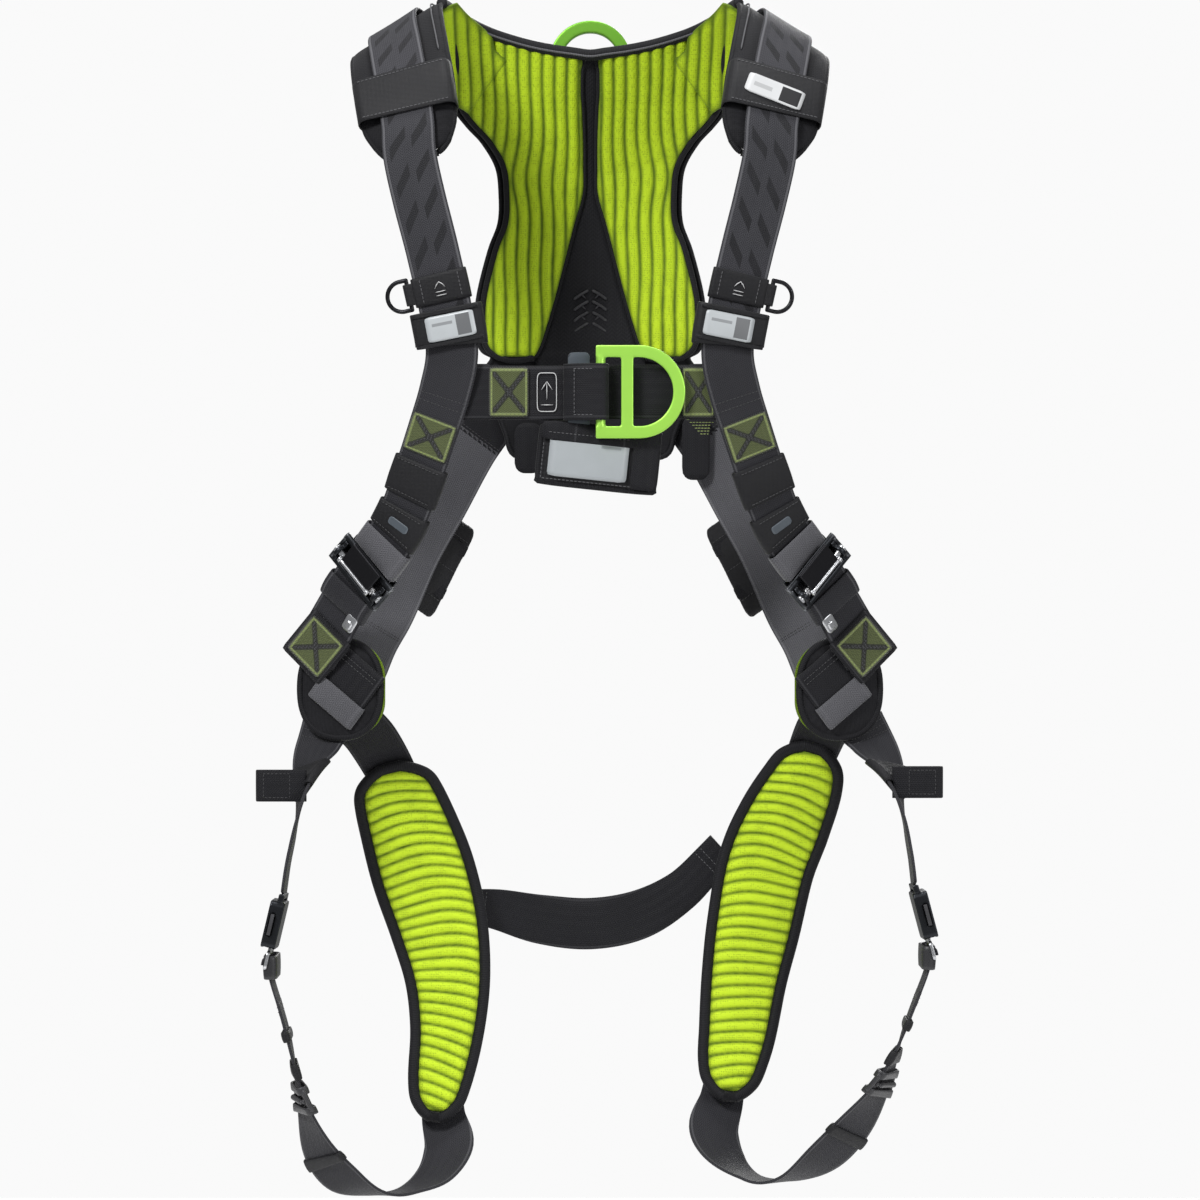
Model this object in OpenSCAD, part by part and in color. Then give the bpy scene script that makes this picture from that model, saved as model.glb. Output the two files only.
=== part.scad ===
// Full-body climbing and rigging harness, as it hangs on a wearer who faces -Y.
// Millimetres, +Z up. The origin is the wearer's shoulder line, on the centre plane.

/* [Webbing] */
// Width of the load webbing
webbing_w = 45; // [43:0.5:46]
// Thickness of the load webbing
webbing_t = 2.5; // [2:0.1:2.8]
// Wall of the fabric keepers round the webbing
keeper_wall = 1.4; // [1:0.1:1.8]

/* [Padding] */
// Thickness of the ribbed back pads
back_pad_t = 12; // [9:0.5:12]
// Thickness of the shoulder pads
shoulder_pad_t = 14; // [10:0.5:14]
// Width of the shoulder pads at the front
shoulder_pad_w = 82; // [76:1:84]
// Thickness of the leg pads
leg_pad_t = 13; // [9:0.5:14]

/* [Dorsal ring] */
// Inner radius of the dorsal ring's bow
dorsal_eye_r = 25.4; // [25:0.1:26]
// Width of the dorsal ring's bow, from inside to outside
dorsal_bow_w = 10.6; // [9:0.2:11]
// Thickness of the dorsal ring
dorsal_ring_t = 9; // [7:0.5:9]
// Radius of the bar that the dorsal ring turns on
dorsal_bar_r = 5; // [4:0.25:5]

/* [Chest ring] */
// Outer radius of the chest ring's bow
chest_ring_r = 38.5; // [37:0.5:39]
// Width of the chest ring's bow and bars
chest_bow_w = 10; // [9:0.5:10]
// Thickness of the chest ring
chest_ring_t = 7; // [6:0.5:7]
// Radius of the bar that the chest ring turns on
chest_bar_r = 4; // [3.5:0.25:4]

/* [Cam buckles] */
// Radius of the pin that the cam lever turns on
cam_pin_r = 2.5; // [2:0.1:2.6]
// Length of the cam lever's handle from the pin
cam_handle = 18; // [16:1:24]

/* [Leg buckles] */
// Width of the quick-connect casing
buckle_w = 56; // [54:1:58]
// Length of the quick-connect casing
buckle_l = 40; // [38:1:42]
// How far a release tab stands out of the casing
tab_travel = 3.5; // [3:0.1:3.5]

/* [Hidden] */
$fn = 64;
slip = 0.06;            // running clearance of a bar or pin in its sleeve
gap = 0.35;             // clearance between neighbouring pieces
black = "#1c1c20";
charcoal = "#3c3c42";
grey = "#707076";
green = "#b4dc20";
ring_green = "#b8ec70";
dorsal_green = "#78be32";
steel = "#c8ccd0";
slate = "#46525e";

// A station is [x, y, z, roll, yaw, width]: a point on a strap's middle line, the angles of its
// width direction (roll lifts it from level, yaw turns it about Z), and its width there.
// All stations are for the left side, at negative x.

// Shoulder pad, from the panel's top corner over the shoulder to the chest
PAD = [
    [-98, 82.5, -38, 51, -12, 62], [-121, 71, -23, 50, -20, 68], [-142, 52, -10, 46, -25, 74],
    [-158, 24, 0, 36, -12, 80], [-163, -10, -8, 28, 0, shoulder_pad_w],
    [-160, -44, -30, 22, 0, shoulder_pad_w], [-154, -70, -62, 17, -4, shoulder_pad_w],
    [-149, -84, -92, 12, -8, 76], [-147.5, -90, -115, 10, -8, 60]
];
strap_lift = shoulder_pad_t / 2 + webbing_t / 2 + 5 * gap;

// Front webbing below the shoulder pad, down to the cam buckle and the hip
CHEST = [
    [-149, -98, -116, 12, -8, webbing_w], [-141, -101, -153, 13, -10, webbing_w],
    [-130, -102, -196, 13, -12, webbing_w], [-119, -101, -245, 8, -12, webbing_w],
    [-114, -100, -280, -4, -14, webbing_w], [-120, -97, -312, -14, -17, webbing_w],
    [-131, -92, -346, -17, -20, webbing_w], [-144, -84, -384, -19, -22, webbing_w],
    [-158, -73, -419, -27, -24, webbing_w], [-177, -58, -447, -35, -26, webbing_w],
    [-194, -43, -466, -37, -25, webbing_w], [-211, -23, -493, -38, -22, webbing_w],
    [-224, -9.5, -514, -38, -20, webbing_w], [-235, -3.5, -531, -38, -20, webbing_w]
];
FRONT = concat([for (u = [1 : 1 : 7]) lifted(PAD, u, strap_lift)], CHEST);
first_chest = 7;        // the index of CHEST's first station in FRONT

// Back webbing from the dorsal plate down the panel and forward to the hip
BACK = [
    [-24, 115.5, -91, 0, 2, webbing_w], [-34, 121.5, -150, 8, 2, webbing_w],
    [-44, 122, -196, 10, 2, webbing_w], [-56, 119.5, -240, 8, 2, webbing_w],
    [-68, 117, -284, 4, 4, webbing_w], [-82, 112, -320, -20, 10, webbing_w],
    [-103, 103, -353, -28, 18, webbing_w], [-127, 90, -399, -28, 24, webbing_w],
    [-149, 76, -440, -27, 28, webbing_w], [-171, 50, -490, -28, 14, webbing_w],
    [-186, 22, -519, -32, -4, webbing_w], [-195, 3, -543, -34, -16, webbing_w],
    [-203, -1, -564, -36, -20, webbing_w]
];
// The hip pad: its middle, and how far it turns towards the wearer's side
HIP = [-212, -6, -560];
hip_yaw = -20;
hip_pad_t = 7;

// Leg loops. The upper strap runs down from the hip and ends at the buckle.
LEG_UP_LEFT = [
    [-224, 8, -590, -34, -20, webbing_w], [-231, 5, -608, -26, -44, webbing_w],
    [-240, -14, -636, -10, -74, webbing_w], [-247, -32, -672, 0, -88, webbing_w],
    [-253, -44, -704, 0, -90, webbing_w], [-257, -50, -732, 0, -90, webbing_w]
];
LEG_UP_RIGHT = [
    [-230, 11, -590, -34, -20, webbing_w], [-241, 6, -607, -26, -44, webbing_w],
    [-255, -14, -634, -10, -74, webbing_w], [-264, -32, -668, 0, -88, webbing_w],
    [-269, -44, -698, 0, -90, webbing_w], [-272, -50, -724, 0, -90, webbing_w]
];
// The buckle line: its first station is the casing's top and its last the tongue's bottom
BUCKLE_LEFT = [[-258, -50, -738, 0, -90, 45], [-266, -51, -775, 0, -90, 45], [-266, -51, -812, 0, -90, 45]];
BUCKLE_RIGHT = [[-273, -50, -730, 0, -90, 45], [-282, -51, -767, 0, -90, 45], [-282, -51, -804, 0, -90, 45]];
// The lower strap runs from below the tongue, under the thigh's hollow and up to the pad
LEG_LOW_LEFT = [
    [-261, -52, -820, 0, -90, webbing_w], [-251, -52, -860, 2, -88, webbing_w],
    [-241, -50, -903, 10, -78, webbing_w], [-228, -46, -946, 22, -56, webbing_w],
    [-208, -38, -972, 24, -50, webbing_w], [-182, -26, -985, 10, -72, webbing_w],
    [-156, -12, -986, 0, -88, webbing_w], [-132, 4, -974, -16, -70, webbing_w],
    [-121, 25, -952, -18, -40, webbing_w], [-126, 43, -928, -12, -14, 38],
    [-127, 51, -904, -12, 0, 34]
];
LEG_LOW_RIGHT = [
    [-276, -52, -812, 0, -90, webbing_w], [-262, -52, -850, 2, -86, webbing_w],
    [-245, -49, -890, 14, -72, webbing_w], [-223, -44, -926, 26, -54, webbing_w],
    [-198, -36, -953, 24, -50, webbing_w], [-168, -24, -973, 10, -72, webbing_w],
    [-140, -10, -976, 0, -88, webbing_w], [-116, 4, -960, -16, -70, webbing_w],
    [-106, 25, -938, -18, -40, webbing_w], [-113, 43, -914, -12, -14, 38],
    [-117, 51, -890, -12, 0, 34]
];
// Leg pads, from the bottom up
LEG_PAD_LEFT = [
    [-134, 30, -931, -14, 0, 38], [-129, 38, -897, -10, 0, 54], [-123, 50, -854, -3, 0, 63],
    [-123, 59, -810, 6, 0, 73], [-131, 64, -765, 13, 0, 84], [-144, 63, -720, 17, 0, 89],
    [-156, 57, -682, 19, 0, 84], [-167, 47, -648, 19, 0, 74], [-173, 38, -625, 19, 0, 54]
];
LEG_PAD_RIGHT = [
    [-119, 32, -914, -8, 0, 40], [-122, 40, -884, -6, 0, 58], [-127, 50, -855, 4, 0, 66],
    [-133, 59, -810, 8, 0, 73], [-141, 64, -767, 11, 0, 80], [-152, 63, -714, 16, 0, 83],
    [-167, 57, -676, 20, 0, 81], [-183, 46, -640, 24, 0, 70], [-193, 36, -608, 26, 0, 50]
];
// Straps from the pads' tops up to the hips
LEG_PAD_STRAP_LEFT = [
    [-175, 32, -618, 21, -4, webbing_w], [-186, 20, -604, 30, -12, webbing_w],
    [-198, 7, -589, 38, -20, webbing_w], [-206, 5, -577, 38, -20, webbing_w]
];
LEG_PAD_STRAP_RIGHT = [
    [-194, 30, -602, 24, -4, webbing_w], [-198, 20, -596, 30, -12, webbing_w],
    [-204, 8, -588, 38, -20, webbing_w], [-210, 6, -579, 38, -20, webbing_w]
];
// Sub-pelvic strap between the pads, from left to right, with its width upright
SEAT = [
    [-100, 76, -750, 90, 0, 30], [-78, 86, -754, 88, 0, 36], [-42, 96, -763, 89, 0, 43],
    [0, 101, -767, 90, 0, webbing_w], [42, 98, -759, 92, 0, 43],
    [78, 88, -738, 98, 0, 36], [104, 77, -711, 102, 0, 32]
];
// Left back pad from top to bottom: [z, outer x, inner x, y of its middle]
PANEL = [
    [-13.5, -76, -63, 77.5], [-19.5, -81, -9, 79.5], [-38, -95, -8, 84], [-51, -105, -8, 88],
    [-60, -109, -7, 91], [-71, -99, -6.5, 94], [-85, -86, -6, 97], [-106, -74, -6, 101],
    [-130, -71, -6.5, 104], [-155, -72, -13.5, 106], [-180, -81, -20, 107], [-222, -91, -31, 106],
    [-254, -91, -40.5, 103], [-266, -87, -45, 102], [-272.5, -78, -49, 101]
];
shell_margin = 7;       // how far the shell's bound edge stands out past the pads
shell_t = 3;
// Middle line of the collar binding, left half
COLLAR = [[-121, 24, 28], [-114, 44, 22.5], [-100, 61, 10], [-80, 72, -0.5], [-44, 77, -8], [0, 78, -13]];

// Dorsal ring
dorsal_bar_z = -48.5;
dorsal_eye_z = dorsal_bar_z + 35;
dorsal_y = 115.5;
dorsal_plate_y = 103.5;  // front of the plate, at the height of the bar
dorsal_lean = 13;       // the plate lies along the panel's upper part
// Chest strap and chest ring
chest_z = -312.5;
chest_strap_y = -97;
chest_strap_l = 218;
chest_bar_x = 9;
chest_bow_x = 40.5;     // centre of the chest ring's bow
chest_ring_y = -107;
// Places along the straps, as station numbers
lanyard_u = first_chest + 2.6;
label_u = first_chest + 3.35;
cam_u = first_chest + 9.75;
buckle_u = 0.55;        // middle of the casing on the buckle line
lanyard_bar_x = -28;    // the lanyard ring's bar from the strap's middle line
lanyard_r = 12.5;
lanyard_wire = 1.8;
cam_pin_y = 8;          // height of the cam pin over the webbing's middle
tongue_t = 2.6;

// ---- Strap geometry ----

function unit(v) = v / norm(v);

// Catmull-Rom blend of four stations
function blend(a, b, c, d, t) =
    0.5 * (2 * b + (c - a) * t + (2 * a - 5 * b + 4 * c - d) * t * t + (3 * b - a - 3 * c + d) * t * t * t);

// The station at place u along a list
function station(st, u) =
    let (n = len(st), i = min(floor(u), n - 2))
    blend(st[max(i - 1, 0)], st[i], st[i + 1], st[min(i + 2, n - 1)], u - i);

function point(s) = [s[0], s[1], s[2]];
function across(s) = [cos(s[3]) * cos(s[4]), cos(s[3]) * sin(s[4]), sin(s[3])];

// Directions along the strap, across it and out of its face
function along(st, u) =
    unit(point(station(st, min(u + 0.05, len(st) - 1))) - point(station(st, max(u - 0.05, 0))));
function side(st, u) = let (w = across(station(st, u)), t = along(st, u)) unit(w - (w * t) * t);
function out(st, u) = cross(along(st, u), side(st, u));

// A webbing-wide station on top of a pad
function lifted(st, u, lift) =
    let (s = station(st, u), p = point(s) + out(st, u) * lift)
    [p[0], p[1], p[2], s[3], s[4], webbing_w];

// The four corners of a strap's section
function section(st, u, wide, thick, lift) =
    let (c = point(station(st, u)) + out(st, u) * lift, w = side(st, u) * wide / 2, h = out(st, u) * thick / 2)
    [c - w - h, c + w - h, c + w + h, c - w + h];

// Side walls between rings of n points, split into triangles
function walls(count, n, stride, first, flip) = [
    for (k = [0 : count - 2], j = [0 : n - 1])
        let (a = k * stride + first + j, b = k * stride + first + (j + 1) % n)
            each (flip ? [[a, b, b + stride], [a, b + stride, a + stride]]
                       : [[a, a + stride, b + stride], [a, b + stride, b]])
];

// A closed solid through rings of points
module skin(rings) {
    n = len(rings[0]);
    last = (len(rings) - 1) * n;
    polyhedron(
        points = [for (r = rings) each r],
        faces = concat(
            walls(len(rings), n, n, 0, false),
            [[for (j = [0 : n - 1]) j]],
            [[for (j = [n - 1 : -1 : 0]) last + j]]
        ),
        convexity = 8
    );
}

// A flat strap along stations, from place a to place b
module ribbon(st, thick, a = 0, b = -1, lift = 0, wide = 0, steps = 3) {
    end = b < 0 ? len(st) - 1 : b;
    n = ceil((end - a) * steps);
    skin([for (k = [0 : n])
        let (u = a + (end - a) * k / n, w = wide > 0 ? wide : station(st, u)[5])
            section(st, u, w, thick, lift)]);
}

// A sleeve round whatever is inner_w by inner_t along stations
module sleeve(st, a, b, inner_w, inner_t, lift = 0, wall = keeper_wall, steps = 4) {
    n = max(1, ceil((b - a) * steps));
    us = [for (k = [0 : n]) a + (b - a) * k / n];
    last = n * 8;
    polyhedron(
        points = [for (u = us) each concat(
            section(st, u, inner_w + 2 * wall, inner_t + 2 * wall, lift),
            section(st, u, inner_w, inner_t, lift))],
        faces = concat(
            walls(n + 1, 4, 8, 0, false),
            walls(n + 1, 4, 8, 4, true),
            [for (j = [0 : 3]) let (m = (j + 1) % 4) each [[j, m, m + 4], [j, m + 4, j + 4]]],
            [for (j = [0 : 3]) let (m = (j + 1) % 4)
                each [[last + j, last + m + 4, last + m], [last + j, last + j + 4, last + m + 4]]]
        ),
        convexity = 8
    );
}

// Puts children on a strap: X across it, Y out of its face, Z along it
module on_strap(st, u) {
    x = side(st, u);
    y = out(st, u);
    z = along(st, u);
    p = point(station(st, u));
    multmatrix([
        [x[0], y[0], z[0], p[0]], [x[1], y[1], z[1], p[1]], [x[2], y[2], z[2], p[2]], [0, 0, 0, 1]
    ]) children();
}

// Leaves the left side as it is, or mirrors it to the right
module to_side(right) {
    mirror([right ? 1 : 0, 0, 0]) children();
}

// ---- Small shapes ----

// A plate w by h in X and Z with round corners, from y0 to y0 + t
module plate(w, h, t, r, y0 = 0) {
    translate([0, y0 + t, 0]) rotate([90, 0, 0]) linear_extrude(t) {
        square([w - 2 * r, h], center = true);
        square([w, h - 2 * r], center = true);
        for (x = [-1, 1], z = [-1, 1]) translate([x * (w / 2 - r), z * (h / 2 - r)]) circle(r);
    }
}

// A round bar along X
module bar_x(r, length) {
    rotate([0, 90, 0]) cylinder(r = r, h = length, center = true);
}

// A tightly wound spring along Z, drawn as its outer shape
module coil(r, wire, turns) {
    rotate_extrude() difference() {
        translate([r - wire, 0]) square([2 * wire, turns * 2 * wire]);
        for (i = [0 : turns]) translate([r + wire, i * 2 * wire]) circle(r = wire * 0.6, $fn = 16);
    }
}

// ---- Back ----

// Rings of a panel from rows of [z, x from, x to, y], t thick
function panel_rings(rows, t) = [
    for (r = rows) [[r[1], r[3] + t / 2, r[0]], [r[2], r[3] + t / 2, r[0]],
                    [r[2], r[3] - t / 2, r[0]], [r[1], r[3] - t / 2, r[0]]]
];

module back_pad() {
    color(green) skin(panel_rings(PANEL, back_pad_t));
}

// Black shell behind the pads, with the bound edge
module back_shell() {
    behind = back_pad_t / 2 + shell_t / 2 + gap;
    upper = [for (r = PANEL) if (r[0] < -20) [r[0], r[1] - shell_margin, -r[1] + shell_margin, r[3] + behind]];
    lower = [[-290, -84, 84, 100 + behind], [-326, -78, 78, 98 + behind], [-354, -64, 64, 97 + behind]];
    color(black) skin(panel_rings(concat(upper, lower), shell_t));
}

// Stripe between the pads, widening to a triangle
module spine_web() {
    t = 4;
    rows = [for (r = PANEL) if (r[0] < -20) [r[0], r[2] + 1, -r[2] - 1, r[3] + back_pad_t / 2 - t / 2]];
    color(charcoal) skin(panel_rings(concat(rows, [[-284, -44, 44, 103.5]]), t));
}

// Rolled binding round the neckline
module collar_binding() {
    r = 4.5;
    sides = 8;
    half = [for (u = [0 : 0.5 : len(COLLAR) - 1.5]) station([for (p = COLLAR) concat(p, [0, 0, 1])], u)];
    line = concat(half, [concat(COLLAR[5], [0, 0, 1])],
        [for (i = [len(half) - 1 : -1 : 0]) [-half[i][0], half[i][1], half[i][2], 0, 0, 1]]);
    color(black) skin([for (i = [0 : len(line) - 1])
        let (t = unit(point(line[min(i + 1, len(line) - 1)]) - point(line[max(i - 1, 0)])),
             v = unit(cross(t, [0, 0, 1])), w = cross(t, v), c = point(line[i]))
            [for (j = [0 : sides - 1]) c + r * (cos(j * 360 / sides) * v + sin(j * 360 / sides) * w)]]);
}

// Tabs that hang below the panel
module back_tabs() {
    color(black) {
        translate([-54, 98, -352]) plate(24, 44, 3, 9);
        translate([92, 92, -352]) plate(24, 56, 3, 9);
    }
}

module dorsal_frame() {
    translate([0, dorsal_plate_y, dorsal_bar_z]) rotate([dorsal_lean, 0, 0]) children();
}

module dorsal_plate() {
    color(black) dorsal_frame() difference() {
        translate([0, 0, -8]) plate(78, 54, 3, 12);
        for (x = [-1, 1]) translate([x * 30, 1.5, -8]) rotate([0, x * 20, 0]) cube([5, 8, 34], center = true);
    }
}

// Webbing loop round the ring's bar, with its tail down the plate
module dorsal_loop() {
    color(charcoal) difference() {
        union() {
            translate([0, dorsal_y, dorsal_bar_z]) bar_x(dorsal_bar_r + 3, 44);
            dorsal_frame() translate([-21, 3 + gap, -32]) cube([42, 4, 24]);
        }
        translate([0, dorsal_y, dorsal_bar_z]) bar_x(dorsal_bar_r + slip, 50);
    }
}

// D-ring: a half-round bow, two straight legs and a round bar
module dorsal_ring() {
    outer = dorsal_eye_r + dorsal_bow_w;
    eye_up = dorsal_eye_z - dorsal_bar_z;
    color(dorsal_green) translate([0, dorsal_y, dorsal_bar_z]) {
        difference() {
            union() {
                translate([0, 0, eye_up]) rotate([90, 0, 0])
                    cylinder(r = outer, h = dorsal_ring_t, center = true);
                translate([-outer, -dorsal_ring_t / 2, 0]) cube([2 * outer, dorsal_ring_t, eye_up]);
            }
            translate([0, 0, eye_up]) rotate([90, 0, 0])
                cylinder(r = dorsal_eye_r, h = 20, center = true);
            translate([-dorsal_eye_r, -10, -10]) cube([2 * dorsal_eye_r, 20, eye_up + 10]);
        }
        bar_x(dorsal_bar_r, 2 * outer - 4);
    }
}

// ---- Shoulders and chest ----

module shoulder_pad() {
    color(black) ribbon(PAD, shoulder_pad_t);
}

// Sleeves that hold the webbing on the pads
module shoulder_keepers() {
    t = shoulder_pad_t + webbing_t + 9 * gap;
    for (right = [false, true]) color(black) to_side(right)
        sleeve(PAD, 5.6, 6.65, shoulder_pad_w + 1, t, lift = (t - shoulder_pad_t) / 2 - gap);
}

module front_strap() {
    color(charcoal) ribbon(FRONT, webbing_t);
}

// Tabs on the front webbing, each with the fold round its ring's bar
module lanyard_tabs() {
    for (right = [false, true]) color(black) to_side(right) {
        sleeve(FRONT, lanyard_u - 0.24, lanyard_u + 0.24, webbing_w + 2 * gap, webbing_t + 2 * gap);
        on_strap(FRONT, lanyard_u) difference() {
            union() {
                translate([lanyard_bar_x, 0, 0]) cylinder(r = lanyard_wire + 1.6, h = 18, center = true);
                translate([lanyard_bar_x, -1, -9]) cube([3.2, 2, 18]);
            }
            translate([lanyard_bar_x, 0, 0]) cylinder(r = lanyard_wire + slip, h = 30, center = true);
        }
    }
}

module lanyard_ring() {
    leg = 6;
    color(black) on_strap(FRONT, lanyard_u) translate([lanyard_bar_x, 0, 0]) {
        cylinder(r = lanyard_wire, h = 2 * lanyard_r, center = true);
        for (z = [-1, 1]) translate([0, 0, z * lanyard_r]) {
            sphere(r = lanyard_wire);
            rotate([0, -90, 0]) cylinder(r = lanyard_wire, h = leg);
        }
        translate([-leg, 0, 0]) rotate([90, 90, 0]) rotate([0, 0, 180]) rotate_extrude(angle = 180)
            translate([lanyard_r, 0]) circle(r = lanyard_wire, $fn = 32);
    }
}

// Black keepers with a window for a printed card
module label_keepers() {
    for (right = [false, true]) color(black) to_side(right)
        sleeve(FRONT, label_u - 0.42, label_u + 0.42, webbing_w + 14, webbing_t + 6);
}

// Blank cards: one on each label keeper, one on the pouch
module label_cards() {
    color(steel) {
        for (right = [false, true]) to_side(right)
            on_strap(FRONT, label_u) plate(41, 20, 0.6, 4, (webbing_t + 6) / 2 + keeper_wall + 2 * gap);
        translate([6.5, -98.2, -366]) rotate([0, 6, 0]) plate(66, 33, 0.6, 3);
    }
}

module chest_strap() {
    color(black) translate([-chest_strap_l / 2, chest_strap_y - webbing_t / 2, chest_z - webbing_w / 2])
        cube([chest_strap_l, webbing_t, webbing_w]);
}

module chest_ring_loop() {
    color(black) translate([chest_bar_x, chest_ring_y, chest_z]) difference() {
        union() {
            cylinder(r = chest_bar_r + 3, h = 48, center = true);
            translate([-21, 2, -24]) cube([21, chest_bar_r + 1, 48]);
        }
        cylinder(r = chest_bar_r + slip, h = 60, center = true);
    }
}

// Plastic plate between the loop and the chest strap, with wings at its ends
module chest_ring_plate() {
    color(slate) translate([-9, chest_strap_y - webbing_t / 2 - 1.6 - 0.1, chest_z])
        plate(18, 66, 1.6, 4);
}

// D-ring with a slot for the loop beside its middle bar
module chest_ring() {
    inner = chest_ring_r - chest_bow_w;
    mid_bar_x = 31;
    color(ring_green) translate([0, chest_ring_y, chest_z]) {
        difference() {
            union() {
                translate([chest_bow_x, 0, 0]) rotate([90, 0, 0])
                    cylinder(r = chest_ring_r, h = chest_ring_t, center = true);
                translate([chest_bar_x - chest_bar_r, -chest_ring_t / 2, -chest_ring_r])
                    cube([chest_bow_x - chest_bar_x + chest_bar_r, chest_ring_t, 2 * chest_ring_r]);
            }
            translate([chest_bow_x, 0, 0]) rotate([90, 0, 0]) cylinder(r = inner, h = 20, center = true);
            translate([chest_bar_x - 10, -10, -inner]) cube([chest_bow_x - chest_bar_x + 10, 20, 2 * inner]);
        }
        translate([chest_bar_x, 0, 0]) cylinder(r = chest_bar_r, h = 2 * inner + 2, center = true);
        translate([mid_bar_x - chest_bow_w / 2, -chest_ring_t / 2, -inner - 1])
            cube([chest_bow_w, chest_ring_t, 2 * inner + 2]);
    }
}

// Pouch for the inspection label, hanging below the chest strap
module label_pouch() {
    color(black) translate([7, -97.4, -366]) rotate([0, 6, 0]) plate(98, 50, 9, 8);
}

// ---- Torso adjusters ----

module strap_keepers() {
    for (right = [false, true]) to_side(right) {
        for (k = [[6.65, 7.45], [7.7, 8.4]]) color(black)
            sleeve(FRONT, first_chest + k[0], first_chest + k[1], webbing_w + 2, webbing_t + 2.5);
        color(grey) sleeve(FRONT, first_chest + 8.6, first_chest + 9.05, webbing_w + 3, webbing_t + 5);
    }
}

// Steel frame: a base under the webbing, two cheeks for the pin, and a cross bar
module cam_frame() {
    inner = webbing_w / 2 + 1;
    base_y = -webbing_t / 2 - 3 * gap - 2.5;
    color(slate) on_strap(FRONT, cam_u) difference() {
        union() {
            translate([-inner - 4, base_y, -17]) cube([2 * inner + 8, 2.5, 34]);
            for (x = [-1, 1]) translate([x * (inner + 2), 0, 0]) {
                translate([-2, base_y, -11]) cube([4, cam_pin_y - base_y, 22]);
                translate([0, cam_pin_y, 0]) bar_x(6, 4);
            }
        }
        translate([0, base_y, 9]) cube([webbing_w, 8, 8], center = true);
        translate([0, base_y, -9]) cube([webbing_w, 8, 8], center = true);
        translate([0, cam_pin_y, 0]) bar_x(cam_pin_r, 80);
    }
}

module cam_pin() {
    inner = webbing_w / 2 + 1;
    color(steel) on_strap(FRONT, cam_u) translate([0, cam_pin_y, 0]) {
        bar_x(cam_pin_r, 2 * inner + 8);
        for (x = [-1, 1]) translate([x * (inner + 5), 0, 0]) bar_x(4, 2);
    }
}

// Cam hub round the pin, with its handle
module cam_lever() {
    hub_r = 5.5;
    hub_w = 36;
    color(black) on_strap(FRONT, cam_u) translate([0, cam_pin_y, 0]) difference() {
        union() {
            bar_x(hub_r, hub_w);
            translate([-hub_w / 2, hub_r - 3, -cam_handle]) cube([hub_w, 3, cam_handle]);
            translate([0, hub_r - 1.5, -cam_handle]) bar_x(1.9, hub_w);
        }
        bar_x(cam_pin_r + slip, 60);
    }
}

// Torsion spring round the pin, beside the hub
module cam_spring() {
    color(steel) on_strap(FRONT, cam_u) translate([18.3, cam_pin_y, 0]) rotate([0, 90, 0])
        coil(cam_pin_r + 0.9, 0.4, 4);
}

// ---- Hips ----

module hip_frame() {
    translate(HIP) rotate([0, 0, hip_yaw]) children();
}

module hip_pad() {
    color(black) hip_frame() plate(76, 84, hip_pad_t, 30, -hip_pad_t / 2);
}

// Square-cut webbing ends sewn down cornerwise at the hips
module hip_patches() {
    for (right = [false, true]) color(charcoal) to_side(right)
        on_strap(FRONT, len(FRONT) - 1) translate([0, webbing_t / 2 + 6 * gap, -9]) rotate([0, 8, 0])
            translate([-23, 0, -23]) cube([46, webbing_t, 46]);
}

module back_strap() {
    color(grey) ribbon(BACK, webbing_t);
}

// Pouch that holds a folded suspension step
module step_pouch() {
    color(black) on_strap(BACK, 7.95) translate([24, -15.5, 0]) plate(42, 96, 12, 9);
}

// ---- Legs ----

module leg_pad(st) {
    color(green) ribbon(st, leg_pad_t);
}

module leg_pad_straps() {
    color(black) {
        ribbon(LEG_PAD_STRAP_LEFT, webbing_t);
        to_side(true) ribbon(LEG_PAD_STRAP_RIGHT, webbing_t);
    }
}

// Upper and lower leg webbing, with the folded loose end that stands out beside the upper one
module leg_strap(up, low, flap_x, flap_z) {
    color(charcoal) {
        ribbon(up, webbing_t);
        ribbon(low, webbing_t);
        translate([flap_x, -34, flap_z]) plate(36, 28, 6, 3);
    }
}

module buckle_frame(st) {
    on_strap(st, buckle_u) children();
}

// Quick-connect casing: hollow, open at the bottom, a window at each side for the tabs
module leg_buckle(st) {
    half = buckle_l / 2;
    color(slate) buckle_frame(st) {
        difference() {
            plate(buckle_w, buckle_l, 12.5, 5, -4.5);
            translate([-buckle_w / 2 + 3, -2, -half + 4]) cube([buckle_w - 6, 7.5, buckle_l]);
            translate([-buckle_w, 1.7, -9.5]) cube([2 * buckle_w, 3.6, 19]);
        }
        translate([0, 0, -half - 4]) bar_x(2.5, 50);
        for (x = [-1, 1]) translate([x * 25.5 - 2.5, -2.5, -half - 6.5]) cube([5, 5, 7]);
    }
}

// Tongue: a plate in the casing and a slotted end for the lower webbing
module leg_tongue(st) {
    color(steel) buckle_frame(st) difference() {
        union() {
            translate([-19, -tongue_t / 2, -12]) cube([38, tongue_t, 36]);
            translate([0, 0, buckle_l / 2 + 10]) plate(54, 16, tongue_t, 4, -tongue_t / 2);
        }
        translate([-23, -5, buckle_l / 2 + 7]) cube([46, 10, 5]);
        translate([-6, -5, -4]) cube([12, 10, 8]);
    }
}

// One release tab, over the tongue, standing out of its window
module leg_tab(st, front) {
    color(black) buckle_frame(st) mirror([front ? 0 : 1, 0, 0])
        translate([9, 2, -9]) cube([buckle_w / 2 + tab_travel - 9, 3, 18]);
}

module leg_spring(st) {
    color(steel) buckle_frame(st) translate([-4.8, 3.5, 0]) rotate([0, 90, 0]) coil(0.9, 0.4, 12);
}

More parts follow.
